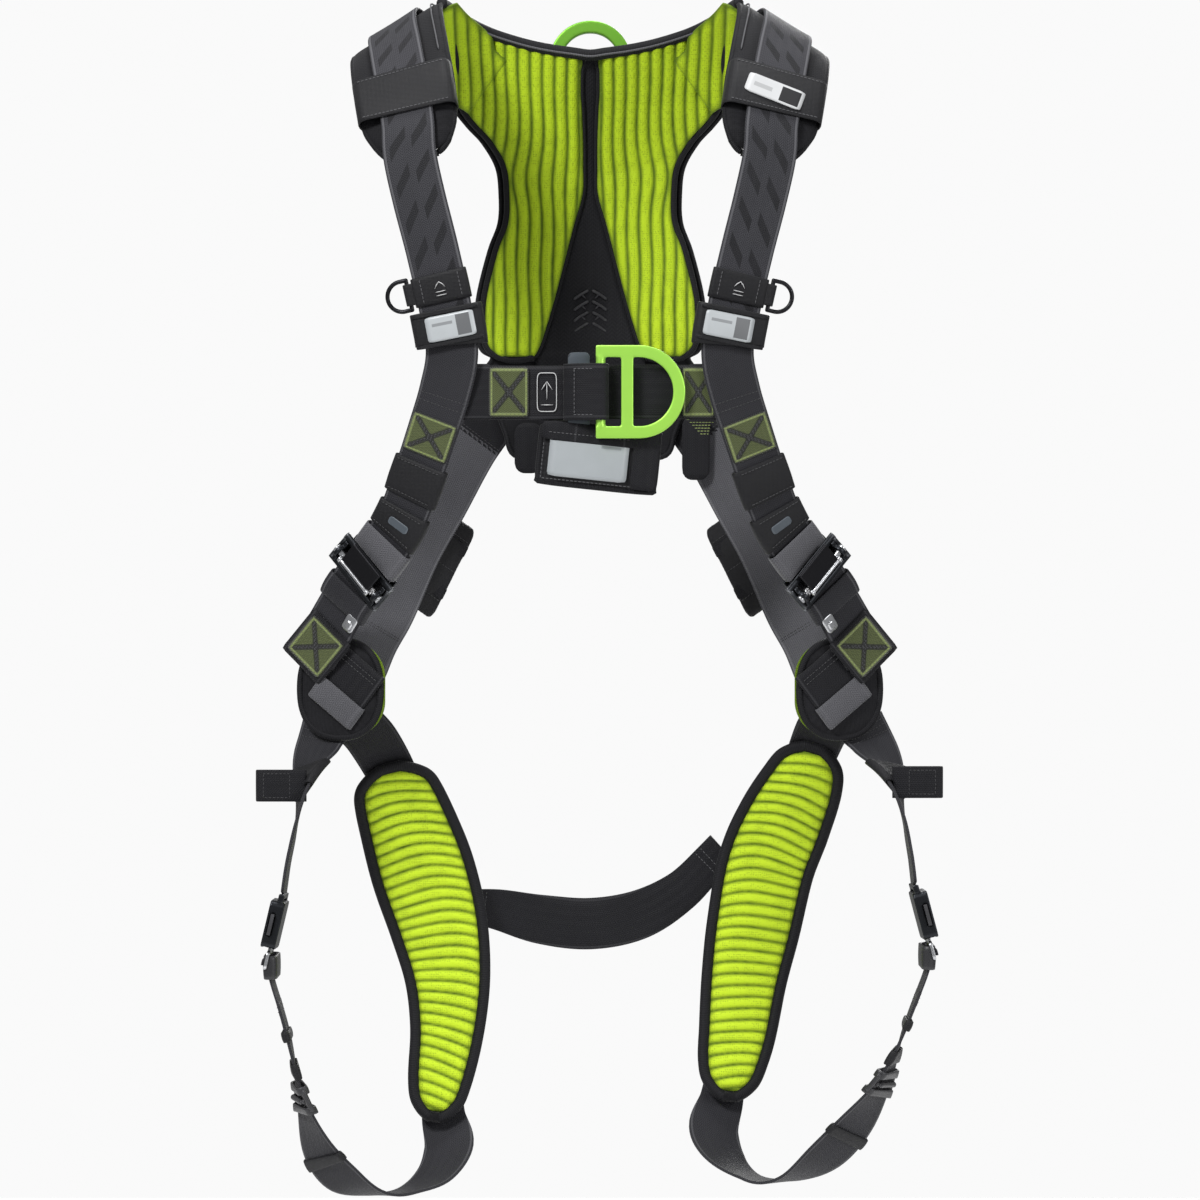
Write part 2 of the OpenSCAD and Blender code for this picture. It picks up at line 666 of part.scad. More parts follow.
module leg_adjusters() {
    for (s = [[false, LEG_LOW_LEFT], [true, LEG_LOW_RIGHT]]) to_side(s[0]) color(slate) {
        sleeve(s[1], 1.7, 2.25, webbing_w + 1, webbing_t + 4, wall = 2);
    }
}

module seat_strap() {
    color(charcoal) ribbon(SEAT, webbing_t, steps = 4);
}

back_pad();  // back_pad_left
to_side(true) back_pad();  // back_pad_right
back_shell();
spine_web();
collar_binding();
back_tabs();
shoulder_pad();  // shoulder_pad_left
to_side(true) shoulder_pad();  // shoulder_pad_right
shoulder_keepers();
dorsal_plate();
dorsal_loop();
dorsal_ring();
front_strap();  // front_strap_left
to_side(true) front_strap();  // front_strap_right
lanyard_tabs();
lanyard_ring();  // lanyard_ring_left
to_side(true) lanyard_ring();  // lanyard_ring_right
label_keepers();
label_cards();
chest_strap();
chest_ring_loop();
chest_ring_plate();
chest_ring();
label_pouch();
strap_keepers();
cam_frame();  // cam_frame_left
to_side(true) cam_frame();  // cam_frame_right
cam_pin();  // cam_pin_left
to_side(true) cam_pin();  // cam_pin_right
cam_lever();  // cam_lever_left
to_side(true) cam_lever();  // cam_lever_right
cam_spring();  // cam_spring_left
to_side(true) cam_spring();  // cam_spring_right
hip_pad();  // hip_pad_left
to_side(true) hip_pad();  // hip_pad_right
hip_patches();
back_strap();  // back_strap_left
to_side(true) back_strap();  // back_strap_right
step_pouch();  // step_pouch_left
to_side(true) step_pouch();  // step_pouch_right
leg_pad(LEG_PAD_LEFT);  // leg_pad_left
to_side(true) leg_pad(LEG_PAD_RIGHT);  // leg_pad_right
leg_pad_straps();
leg_strap(LEG_UP_LEFT, LEG_LOW_LEFT, -264, -641);  // leg_strap_left
to_side(true) leg_strap(LEG_UP_RIGHT, LEG_LOW_RIGHT, -280, -638);  // leg_strap_right
leg_buckle(BUCKLE_LEFT);  // leg_buckle_left
to_side(true) leg_buckle(BUCKLE_RIGHT);  // leg_buckle_right
leg_tongue(BUCKLE_LEFT);  // leg_tongue_left
to_side(true) leg_tongue(BUCKLE_RIGHT);  // leg_tongue_right
leg_tab(BUCKLE_LEFT, true);  // leg_tab_front_left
leg_tab(BUCKLE_LEFT, false);  // leg_tab_rear_left
to_side(true) leg_tab(BUCKLE_RIGHT, true);  // leg_tab_front_right
to_side(true) leg_tab(BUCKLE_RIGHT, false);  // leg_tab_rear_right
leg_spring(BUCKLE_LEFT);  // leg_spring_left
to_side(true) leg_spring(BUCKLE_RIGHT);  // leg_spring_right
leg_adjusters();
seat_strap();
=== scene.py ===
"""Looks of the full-body climbing harness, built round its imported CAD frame.

Lengths are in millimetres up to the point where a mesh is made, and in metres from there on.
The wearer faces -Y and +Z is up. Left is -X; most left pieces are mirrored to the right.
"""
import math
from functools import partialmethod

import bmesh
import bpy
import numpy as np
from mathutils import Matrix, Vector


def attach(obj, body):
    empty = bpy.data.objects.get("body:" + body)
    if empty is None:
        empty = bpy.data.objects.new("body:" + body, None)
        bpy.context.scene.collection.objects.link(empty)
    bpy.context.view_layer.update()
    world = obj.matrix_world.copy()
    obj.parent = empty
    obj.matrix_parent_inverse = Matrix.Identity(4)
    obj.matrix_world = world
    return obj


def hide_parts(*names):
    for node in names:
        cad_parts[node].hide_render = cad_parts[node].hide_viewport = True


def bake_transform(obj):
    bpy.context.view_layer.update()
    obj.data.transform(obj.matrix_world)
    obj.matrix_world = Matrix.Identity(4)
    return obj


MM = 0.001
TAU = 2 * math.pi
SIDES = (("left", False), ("right", True))
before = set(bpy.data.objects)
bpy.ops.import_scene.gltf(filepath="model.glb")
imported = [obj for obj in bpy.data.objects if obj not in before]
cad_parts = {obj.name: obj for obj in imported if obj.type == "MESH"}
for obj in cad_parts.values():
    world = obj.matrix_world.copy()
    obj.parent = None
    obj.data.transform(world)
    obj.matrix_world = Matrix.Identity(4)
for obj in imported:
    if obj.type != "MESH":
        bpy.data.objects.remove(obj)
scene = bpy.context.scene
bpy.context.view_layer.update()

# ---- Stations: [x, y, z, roll, yaw, width where it isn't 45], as the CAD model has them ----

PAD_W, WEB_W, WEB_T, PAD_T = 82, 45, 2.5, 14
GAP, WALL = 0.35, 1.4
PAD = [
    [-98, 82.5, -38, 51, -12, 62], [-121, 71, -23, 50, -20, 68], [-142, 52, -10, 46, -25, 74],
    [-158, 24, 0, 36, -12, 80], [-163, -10, -8, 28, 0, PAD_W], [-160, -44, -30, 22, 0, PAD_W],
    [-154, -70, -62, 17, -4, PAD_W], [-149, -84, -92, 12, -8, 76], [-147.5, -90, -115, 10, -8, 60]]
CHEST = [
    [-149, -98, -116, 12, -8], [-141, -101, -153, 13, -10], [-130, -102, -196, 13, -12],
    [-119, -101, -245, 8, -12], [-114, -100, -280, -4, -14], [-120, -97, -312, -14, -17],
    [-131, -92, -346, -17, -20], [-144, -84, -384, -19, -22], [-158, -73, -419, -27, -24],
    [-177, -58, -447, -35, -26], [-194, -43, -466, -37, -25], [-211, -23, -493, -38, -22],
    [-224, -9.5, -514, -38, -20], [-235, -3.5, -531, -38, -20]]
BACK = [
    [-24, 115.5, -91, 0, 2], [-34, 121.5, -150, 8, 2], [-44, 122, -196, 10, 2],
    [-56, 119.5, -240, 8, 2], [-68, 117, -284, 4, 4], [-82, 112, -320, -20, 10],
    [-103, 103, -353, -28, 18], [-127, 90, -399, -28, 24], [-149, 76, -440, -27, 28],
    [-171, 50, -490, -28, 14], [-186, 22, -519, -32, -4], [-195, 3, -543, -34, -16],
    [-203, -1, -564, -36, -20]]
LEG_UP = {"left": [
    [-224, 8, -590, -34, -20], [-231, 5, -608, -26, -44], [-240, -14, -636, -10, -74],
    [-247, -32, -672, 0, -88], [-253, -44, -704, 0, -90], [-257, -50, -732, 0, -90]],
    "right": [
    [-230, 11, -590, -34, -20], [-241, 6, -607, -26, -44], [-255, -14, -634, -10, -74],
    [-264, -32, -668, 0, -88], [-269, -44, -698, 0, -90], [-272, -50, -724, 0, -90]]}
BUCKLE = {"left": [[-258, -50, -738, 0, -90], [-266, -51, -775, 0, -90], [-266, -51, -812, 0, -90]],
          "right": [[-273, -50, -730, 0, -90], [-282, -51, -767, 0, -90], [-282, -51, -804, 0, -90]]}
LEG_LOW = {"left": [
    [-261, -52, -820, 0, -90], [-251, -52, -860, 2, -88], [-241, -50, -903, 10, -78],
    [-228, -46, -946, 22, -56], [-208, -38, -972, 24, -50], [-182, -26, -985, 10, -72],
    [-156, -12, -986, 0, -88], [-132, 4, -974, -16, -70], [-121, 25, -952, -18, -40],
    [-126, 43, -928, -12, -14, 38], [-127, 51, -904, -12, 0, 34]],
    "right": [
    [-276, -52, -812, 0, -90], [-262, -52, -850, 2, -86], [-245, -49, -890, 14, -72],
    [-223, -44, -926, 26, -54], [-198, -36, -953, 24, -50], [-168, -24, -973, 10, -72],
    [-140, -10, -976, 0, -88], [-116, 4, -960, -16, -70], [-106, 25, -938, -18, -40],
    [-113, 43, -914, -12, -14, 38], [-117, 51, -890, -12, 0, 34]]}
LEG_PAD = {"left": [
    [-134, 30, -931, -14, 0, 38], [-129, 38, -897, -10, 0, 54], [-123, 50, -854, -3, 0, 63],
    [-123, 59, -810, 6, 0, 73], [-131, 64, -765, 13, 0, 84], [-144, 63, -720, 17, 0, 89],
    [-156, 57, -682, 19, 0, 84], [-167, 47, -648, 19, 0, 74], [-173, 38, -625, 19, 0, 54]],
    "right": [
    [-119, 32, -914, -8, 0, 40], [-122, 40, -884, -6, 0, 58], [-127, 50, -855, 4, 0, 66],
    [-133, 59, -810, 8, 0, 73], [-141, 64, -767, 11, 0, 80], [-152, 63, -714, 16, 0, 83],
    [-167, 57, -676, 20, 0, 81], [-183, 46, -640, 24, 0, 70], [-193, 36, -608, 26, 0, 50]]}
LEG_PAD_STRAP = {"left": [
    [-175, 32, -618, 21, -4], [-186, 20, -604, 30, -12],
    [-198, 7, -589, 38, -20], [-206, 5, -577, 38, -20]],
    "right": [
    [-194, 30, -602, 24, -4], [-198, 20, -596, 30, -12],
    [-204, 8, -588, 38, -20], [-210, 6, -579, 38, -20]]}
SEAT = [
    [-100, 76, -750, 90, 0, 30], [-78, 86, -754, 88, 0, 36], [-42, 96, -763, 89, 0, 43],
    [0, 101, -767, 90, 0], [42, 98, -759, 92, 0, 43],
    [78, 88, -738, 98, 0, 36], [104, 77, -711, 102, 0, 32]]
# Left half of the back panel from the top: [z, outer x, inner x, y of its middle]
PANEL = [
    [0, -93, -74, 73.5], [-7, -99, -38, 76.5], [-13, -104, -9, 79], [-28, -113, -8, 83],
    [-44, -113, -8, 87], [-58, -109, -7, 91], [-71, -99, -6.5, 94], [-85, -86, -6, 97],
    [-106, -74, -6, 101], [-130, -71, -6.5, 104], [-155, -72, -13.5, 106], [-180, -81, -20, 107],
    [-222, -91, -31, 106], [-254, -91, -40.5, 103], [-266, -87, -45, 102], [-272.5, -78, -49, 101]]
COLLAR = [[-127, 18, 25], [-120, 36, 22], [-111, 51, 16], [-85, 71, 5], [-45, 77, -6], [0, 78, -12.5]]
FIRST_CHEST = 7
CAM_U = FIRST_CHEST + 9.75
BUCKLE_U = 0.55
BACK_PAD_T = 12


# ---- Lines that straps, tubes and stitches follow ----

def unit(v):
    v = np.asarray(v, float)
    return v / np.maximum(np.linalg.norm(v, axis=-1, keepdims=True), 1e-9)


def spline(rows, u):
    """Catmull-Rom blend of the rows at place u."""
    n = len(rows)
    i = max(0, min(int(math.floor(u)), n - 2))
    a, b, c, d = (np.asarray(rows[k], float) for k in (max(i - 1, 0), i, i + 1, min(i + 2, n - 1)))
    t = u - i
    return 0.5 * (2 * b + (c - a) * t + (2 * a - 5 * b + 4 * c - d) * t * t
                  + (3 * b - a - 3 * c + d) * t ** 3)


class Line:
    """A middle line with a width direction, by arc length: across it, out of its face, along it."""

    def __init__(self, p, w, width=None, places=None):
        self.p = np.asarray(p, float)
        self.t = unit(np.gradient(self.p, axis=0))
        w = np.broadcast_to(np.asarray(w, float), self.p.shape)
        self.w = unit(w - (w * self.t).sum(1, keepdims=True) * self.t)
        self.o = np.cross(self.t, self.w)
        self.s = np.concatenate([[0], np.cumsum(np.linalg.norm(np.diff(self.p, axis=0), axis=1))])
        self.width = np.full(len(self.p), 45.0) if width is None else np.asarray(width, float)
        self.u = self.s if places is None else places
        self.length = self.s[-1]

    def at(self, u):
        """Arc length at station number u."""
        return float(np.interp(u, self.u, self.s))

    def wide(self, s):
        return np.interp(s, self.s, self.width)

    def axes(self, s):
        s = np.asarray(s, float)

        def look(a):
            return np.stack([np.interp(s, self.s, a[:, k]) for k in range(3)], -1)
        p, w, o, t = look(self.p), unit(look(self.w)), unit(look(self.o)), unit(look(self.t))
        over = np.where(s > self.length, s - self.length, np.where(s < 0, s, 0))
        return p + t * over[..., None], w, o, t

    def put(self, x, h, s):
        """Points at x across, h out of the face and s along."""
        x, h, s = np.broadcast_arrays(np.asarray(x, float), np.asarray(h, float), np.asarray(s, float))
        p, w, o, _ = self.axes(s)
        return p + w * x[..., None] + o * h[..., None]


class Plane:
    """A flat place to build on, with the same calls as Line."""

    def __init__(self, origin, across, out):
        self.p, self.w = np.asarray(origin, float), unit(across)
        self.o = unit(np.asarray(out, float) - np.dot(out, self.w) * self.w)
        self.t = np.cross(self.w, self.o)

    def axes(self, s):
        s = np.asarray(s, float)
        one = np.ones(s.shape + (1,))
        return self.p + s[..., None] * self.t, one * self.w, one * self.o, one * self.t

    put = Line.put

    def turned(self, deg):
        a = math.radians(deg)
        return Plane(self.p, math.cos(a) * self.w + math.sin(a) * self.t, self.o)


def strap(stations):
    stations = [list(row) + [WEB_W] * (6 - len(row)) for row in stations]
    n = (len(stations) - 1) * 32
    us = np.linspace(0, len(stations) - 1, n + 1)
    rows = np.array([spline(stations, u) for u in us])
    r, y = np.radians(rows[:, 3]), np.radians(rows[:, 4])
    across = np.stack([np.cos(r) * np.cos(y), np.cos(r) * np.sin(y), np.sin(r)], -1)
    return Line(rows[:, :3], across, rows[:, 5], us)


def path(points, across):
    us = np.linspace(0, len(points) - 1, (len(points) - 1) * 10 + 1)
    return Line([spline(points, u) for u in us], across)


def flat_on(line, s, turn=0):
    """A plane through a line at s."""
    return Plane(*line.axes(s)[:3]).turned(turn)


# ---- Meshes ----

class Soup:
    """Gathers shapes into one mesh. Each point keeps its place on its cloth: (across, along, height)."""

    def __init__(self):
        self.v, self.f, self.lay, self.n = [], [], [], 0

    def add(self, verts, faces, lay=None):
        verts = np.asarray(verts, float).reshape(-1, 3)
        self.v.append(verts)
        self.lay.append(np.zeros_like(verts) if lay is None else np.asarray(lay, float).reshape(-1, 3))
        self.f += [[i + self.n for i in f] for f in faces]
        self.n += len(verts)
        return self

    def loft(self, rings, lay=None, closed=False):
        rings = np.array(rings)
        return self.add(rings, sweep(rings, closed), lay)

    def mirror(self, printed=False):
        """Adds a mirrored copy of everything so far. Print isn't mirrored."""
        v, lay, f = np.concatenate(self.v), np.concatenate(self.lay), [list(reversed(x)) for x in self.f]
        return self.add(v * [-1, 1, 1], f, lay * ([-1, 1, 1] if printed else [1, 1, 1]))

    def make(self, name, look, *stands, body="harness", right=False, raw=False):
        """Makes the mesh. look is a key of M, then a stroke and the record slot where SLOT's isn't meant;
        that slot is not used.
        """
        key, _, slot = look.partition("/")
        v = np.concatenate(self.v) * MM * ([-1, 1, 1] if right else [1, 1, 1])
        me = bpy.data.meshes.new(name)
        me.from_pydata(v.tolist(), [], [f[::-1] for f in self.f] if right else self.f)
        at = me.attributes.new("lay", "FLOAT_VECTOR", "POINT")
        at.data.foreach_set("vector", (np.concatenate(self.lay) * MM).astype(np.float32).ravel())
        bm = bmesh.new()
        bm.from_mesh(me)
        bmesh.ops.recalc_face_normals(bm, faces=bm.faces)
        bm.to_mesh(me)
        bm.free()
        me.polygons.foreach_set("use_smooth", [True] * len(me.polygons))
        me.materials.append(M[key])
        ob = bpy.data.objects.new(name, me)
        scene.collection.objects.link(ob)
        return ob if raw else settle(ob, slot or SLOT[key], *stands, body=body)


def settle(ob, slot, *stands, body="harness"):
    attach(ob, body)
    if stands:
        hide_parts(*stands)
    return ob


def sweep(rings, closed=False):
    """Quads between rings of equal length, with capped ends unless closed."""
    k, n = rings.shape[:2]
    i = (np.arange(k if closed else k - 1) * n)[:, None]
    j = np.arange(n)[None, :]
    nxt = (i + n) % (k * n)
    faces = np.stack([i + j, i + (j + 1) % n, nxt + (j + 1) % n, nxt + j], -1).reshape(-1, 4).tolist()
    if not closed:
        faces += [list(range(n))[::-1], list(range((k - 1) * n, k * n))]
    return faces


def band_profile(w, t, nx=8):
    """Section of webbing: two flat faces and round selvedges."""
    r = t / 2
    xs = np.linspace(-w / 2 + r, w / 2 - r, nx + 1)
    a = np.radians([60, 20, -20, -60])
    end = np.stack([w / 2 - r + r * np.cos(a), r * np.sin(a)], -1)
    return np.concatenate([np.stack([xs, np.full_like(xs, r)], -1), end,
                           np.stack([xs[::-1], np.full_like(xs, -r)], -1), end[::-1] * [-1, 1]])


def webbing(soup, line, s0=0, s1=None, wide=None, thick=WEB_T, pitch=4, ripple=0.25, at=0.0, cup=0.0):
    """A length of webbing. ripple lets its edges wander, cup bows it across."""
    s1 = line.length if s1 is None else s1
    s = np.linspace(s0, s1, max(2, int(abs(s1 - s0) / pitch) + 1))
    prof = band_profile(wide or WEB_W, thick)
    share = (line.wide(s) / WEB_W if hasattr(line, "wide")
             else np.ones_like(s)) if wide is None else np.ones_like(s)
    x = prof[None, :, 0] * share[:, None]
    half = np.abs(x).max()
    wander = (ripple * np.sin(s / 17 + at)[:, None] * (x / half) ** 2
              + ripple * np.sin(s / 29 + 2 + at)[:, None] * x / half)
    h = prof[None, :, 1] + wander - cup * (x / half) ** 2
    rings = line.put(x, h, s[:, None])
    lay = np.stack([x, np.broadcast_to(s[:, None] + at, x.shape),
                    np.broadcast_to(prof[None, :, 1] / (thick / 2), x.shape)], -1)
    return soup.loft(rings, lay)


def rounded(w, t, r, n=5):
    """Rounded rectangle, w by t, as a loop of 4 n points."""
    r = min(r, w / 2 - 0.01, t / 2 - 0.01)
    pts = []
    for cx, cy, a0 in ((1, 1, 0), (-1, 1, 90), (-1, -1, 180), (1, -1, 270)):
        a = np.radians(np.linspace(a0, a0 + 90, n))
        pts.append(np.stack([cx * (w / 2 - r) + r * np.cos(a), cy * (t / 2 - r) + r * np.sin(a)], -1))
    return np.concatenate(pts)


def sleeve(soup, line, s0, s1, inner_w, inner_t, wall=WALL, lift=0.0, puff=0.5):
    """A fabric keeper round a strap, slightly puffed, with rolled ends."""
    n = max(3, int((s1 - s0) / 3))
    s = np.linspace(s0, s1, n + 1)
    e = min(1.2, (s1 - s0) / 4)
    seq = [(s0, 0.55, 0)] + [(min(max(v, s0 + e * 0.4), s1 - e * 0.4), 1,
                              puff * math.sin(math.pi * k / n)) for k, v in enumerate(s)]
    seq += [(s1, 0.55, 0)] + [(min(max(v, s0 + e), s1 - e), 0, 0) for v in s[::-1]]
    rings, lays = [], []
    for v, share, fat in seq:
        wall_now = wall * share
        prof = rounded(inner_w + 2 * wall_now, inner_t + 2 * wall_now + 2 * fat,
                       inner_t * 0.35 + wall_now + 0.4)
        rings.append(line.put(prof[:, 0], prof[:, 1] + lift, v))
        lays.append(np.stack([prof[:, 0], np.full(len(prof), v), np.full(len(prof), share)], -1))
    return soup.loft(rings, np.array(lays), True)


def tube(soup, points, r, flat=1.0, up=(0, 0, 1), closed=False, sides=10, steps=6, ends=True):
    """A round or flattened tube along points."""
    points = list(points)
    if closed:
        points = points[-2:] + points + points[:3]
    us = np.linspace(0, len(points) - 1, (len(points) - 1) * steps + 1)
    if closed:
        us = us[2 * steps:-3 * steps]
    line = Line([spline(points, u) for u in us], up)
    a = np.arange(sides) * TAU / sides
    size = np.ones(len(us))
    if ends and not closed:
        size[0] = size[-1] = 0.35
    x = np.cos(a)[None, :] * r * size[:, None]
    h = np.sin(a)[None, :] * r * flat * size[:, None]
    rings = line.put(x, h, line.s[:, None])
    lay = np.stack(np.broadcast_arrays(a[None, :] * r, line.s[:, None], np.zeros((1, 1))), -1)
    return soup.loft(rings, lay, closed)


def seam(soup, on, route, h, pitch=3.4, long=2.5, r=0.34):
    """Stitches of thread along a route of (x, s) points on a line or plane, h above its middle."""
    route = np.asarray(route, float)
    span = np.linalg.norm(np.diff(route, axis=0), axis=1)
    total = np.concatenate([[0], np.cumsum(span)])
    mid = np.arange(pitch / 2, total[-1], pitch)

    def spot(d):
        x, s = np.interp(d, total, route[:, 0]), np.interp(d, total, route[:, 1])
        return on.put(x, h, s), on.axes(s)[2]
    a, _ = spot(mid - long / 2)
    b, _ = spot(mid + long / 2)
    c, o = spot(mid)
    return threads(soup, a, b, c, o, r)


def threads(soup, a, b, c, o, r):
    d = unit(b - a)
    side = np.cross(d, o)
    ring = np.arange(5) * TAU / 5
    shape = [(-0.5, 0.45, -0.25), (-0.25, 1, 0.1), (0.25, 1, 0.1), (0.5, 0.45, -0.25)]
    length = np.linalg.norm(b - a, axis=1)[:, None]
    parts = []
    for along, fat, up in shape:
        centre = c + d * along * length + o * up * r
        parts.append(centre[:, None] + r * fat * (np.cos(ring)[None, :, None] * side[:, None]
                                                  + np.sin(ring)[None, :, None] * o[:, None]))
    v = np.stack(parts, 1)
    faces = []
    base = np.array(sweep(v[0])[:-2]) if len(v) else np.zeros((0, 4), int)
    for k in range(len(v)):
        faces += (base + k * 20).tolist()
        faces += [[k * 20 + i for i in (4, 3, 2, 1, 0)], [k * 20 + 15 + i for i in range(5)]]
    return soup.add(v, faces)


def cloth_along(px, ps):
    """Where a plate's points lie on cloth that runs along it."""
    return np.stack([px, ps, 0 * px], -1).reshape(-1, 3)


def cloth_across(px, ps):
    return cloth_along(ps, px)


def plate(soup, on, w, l, t, r=3.0, x=0.0, s=0.0, h=0.0, lay=None, dome=0.0, nx=10, ns=10):
    """A thin plate with round corners on a line or plane. Its grid lets it follow the cloth under it."""
    gx, gs = np.linspace(-1, 1, nx + 1), np.linspace(-1, 1, ns + 1)
    px, ps = np.meshgrid(gx * w / 2, gs * l / 2)
    ax, as_ = np.abs(px) - (w / 2 - r), np.abs(ps) - (l / 2 - r)
    corner = (ax > 0) & (as_ > 0)
    d = np.sqrt(np.maximum(ax, 0) ** 2 + np.maximum(as_, 0) ** 2)
    pull = np.where(corner & (d > r), r / np.maximum(d, 1e-6), 1)
    px = np.where(corner, np.sign(px) * (w / 2 - r + np.maximum(ax, 0) * pull), px)
    ps = np.where(corner, np.sign(ps) * (l / 2 - r + np.maximum(as_, 0) * pull), ps)
    bow = dome * (1 - (2 * px / w) ** 2) * (1 - (2 * ps / l) ** 2)
    top = on.put(px + x, h + t + bow, ps + s).reshape(-1, 3)
    low = on.put(px + x, h, ps + s).reshape(-1, 3)
    n = (nx + 1) * (ns + 1)
    q = [(j * (nx + 1) + i, j * (nx + 1) + i + 1, (j + 1) * (nx + 1) + i + 1, (j + 1) * (nx + 1) + i)
         for j in range(ns) for i in range(nx)]
    rim = (list(range(nx + 1)) + [j * (nx + 1) + nx for j in range(1, ns + 1)]
           + [ns * (nx + 1) + i for i in range(nx - 1, -1, -1)]
           + [j * (nx + 1) for j in range(ns - 1, 0, -1)])
    walls = [(a, b, b + n, a + n) for a, b in zip(rim, rim[1:] + rim[:1])]
    where = (np.stack([px / w * 2, ps / l * 2, np.zeros_like(px)], -1).reshape(-1, 3) / MM
             if lay is None else lay(px, ps))
    return soup.add(np.concatenate([top, low]),
                    q + [tuple(i + n for i in f[::-1]) for f in q] + [f[::-1] for f in walls],
                    np.concatenate([where, where]))


# ---- Materials ----

class Paint:
    """A Principled material built node by node."""

    def __init__(self, name, **sockets):
        self.mat = bpy.data.materials.new(name)
        self.mat.use_nodes = True
        self.tree = self.mat.node_tree
        self.shader = self.tree.nodes["Principled BSDF"]
        for key, value in sockets.items():
            self.shader.inputs[key.replace("_", " ")].default_value = value
        self.spot = self.node("ShaderNodeTexCoord").outputs["Object"]

    def node(self, kind, inputs=(), **props):
        n = self.tree.nodes.new(kind)
        for key, value in props.items():
            setattr(n, key, value)
        for key, value in dict(inputs).items():
            self.feed(n.inputs[key], value)
        return n

    def feed(self, socket, value):
        if isinstance(value, bpy.types.NodeSocket):
            self.tree.links.new(value, socket)
        else:
            socket.default_value = value

    def math(self, op, a, b=0.0, c=0.0, clamp=False):
        return self.node("ShaderNodeMath", {0: a, 1: b, 2: c}, operation=op, use_clamp=clamp).outputs[0]

    add, sub = partialmethod(math, "ADD"), partialmethod(math, "SUBTRACT")
    mul, mad = partialmethod(math, "MULTIPLY"), partialmethod(math, "MULTIPLY_ADD")
    size = partialmethod(math, "ABSOLUTE")
    less, over = partialmethod(math, "LESS_THAN"), partialmethod(math, "GREATER_THAN")

    def mix(self, share, a, b):
        n = self.node("ShaderNodeMix", data_type="RGBA")
        self.feed(n.inputs[0], share)
        self.feed(n.inputs[6], a)
        self.feed(n.inputs[7], b)
        return n.outputs[2]

    def noise(self, scale, detail=2.0, spot=None):
        inputs = {"Vector": spot or self.spot, "Scale": scale, "Detail": detail}
        return self.node("ShaderNodeTexNoise", inputs).outputs["Fac"]

    def cells(self, scale, random=0.3):
        inputs = {"Vector": self.spot, "Scale": scale, "Randomness": random}
        return self.node("ShaderNodeTexVoronoi", inputs).outputs["Distance"]

    def lay(self):
        a = self.node("ShaderNodeAttribute", attribute_name="lay")
        out = self.node("ShaderNodeSeparateXYZ", {0: a.outputs["Vector"]}).outputs
        return out[0], out[1], out[2]

    def step(self, value, low, high):
        return self.node("ShaderNodeMapRange", {0: value, 1: low, 2: high},
                         interpolation_type="SMOOTHSTEP").outputs[0]

    def wave(self, value, period):
        return self.mad(self.math("SINE", self.mul(value, TAU / period)), 0.5, 0.5)

    def done(self, colour=None, rough=None, height=None, depth=0.0003, strength=0.7):
        if colour is not None:
            self.feed(self.shader.inputs["Base Color"], colour)
        if rough is not None:
            self.feed(self.shader.inputs["Roughness"], rough)
        if height is not None:
            bump = self.node("ShaderNodeBump", {"Height": height, "Distance": depth, "Strength": strength})
            self.feed(self.shader.inputs["Normal"], bump.outputs[0])
        return self.mat


def rgb(r, g, b):
    return (r, g, b, 1.0)


# Sizes of the cloths' threads and patterns, in metres
WARP, ZIGZAG, DASH_PITCH = 0.0017, 0.0042, 0.031
KNIT, MESH_CELL, COAT_THREAD = 0.0016, 0.0019, 0.0011


def woven(name, dark, light, dashes=False, edge=0.25, twill=0.0022, sheen=0.08, half=0.0225):
    """Webbing: herringbone twill with warp ribs, a selvedge and light rubbing; or with dark dashes."""
    p = Paint(name, Sheen_Weight=sheen, Sheen_Roughness=0.45, Specular_IOR_Level=0.18)
    x, s, _ = p.lay()
    zig = p.math("PINGPONG", p.add(x, 0.3), ZIGZAG)
    weave = p.mad(p.wave(p.add(s, zig), twill), 0.6, p.mul(p.wave(x, WARP), 0.4))
    fuzz, rub = p.noise(1400), p.noise(26, 4)
    tone = p.add(p.mul(weave, 0.55), p.add(p.mul(fuzz, 0.3), p.mul(rub, 0.35)))
    far = p.size(x)
    colour = p.mix(p.sub(tone, 0.15, clamp=True), dark, light)
    if dashes:
        column = p.over(x, 0.0)
        beat = p.math("FRACT", p.add(p.add(p.mul(s, 1 / DASH_PITCH), p.mul(column, 0.5)), p.mul(x, 42)))
        inside = p.mul(p.step(beat, 0.0, 0.05), p.sub(1.0, p.step(beat, 0.34, 0.39)))
        off = p.size(p.sub(far, 0.0095))
        inside = p.mul(inside, p.sub(1.0, p.step(off, 0.0065, 0.0072)))
        colour = p.mix(p.mul(inside, p.mad(rub, 0.5, 0.4)), colour, rgb(0.006, 0.006, 0.007))
    line = p.mul(p.step(far, half * 0.86, half * 0.885), p.sub(1.0, p.step(far, half * 0.93, half * 0.955)))
    colour = p.mix(p.mul(line, edge), colour, rgb(0.30, 0.30, 0.32))
    return p.done(colour, p.mad(fuzz, 0.25, 0.5), weave, 0.00035, 0.8)


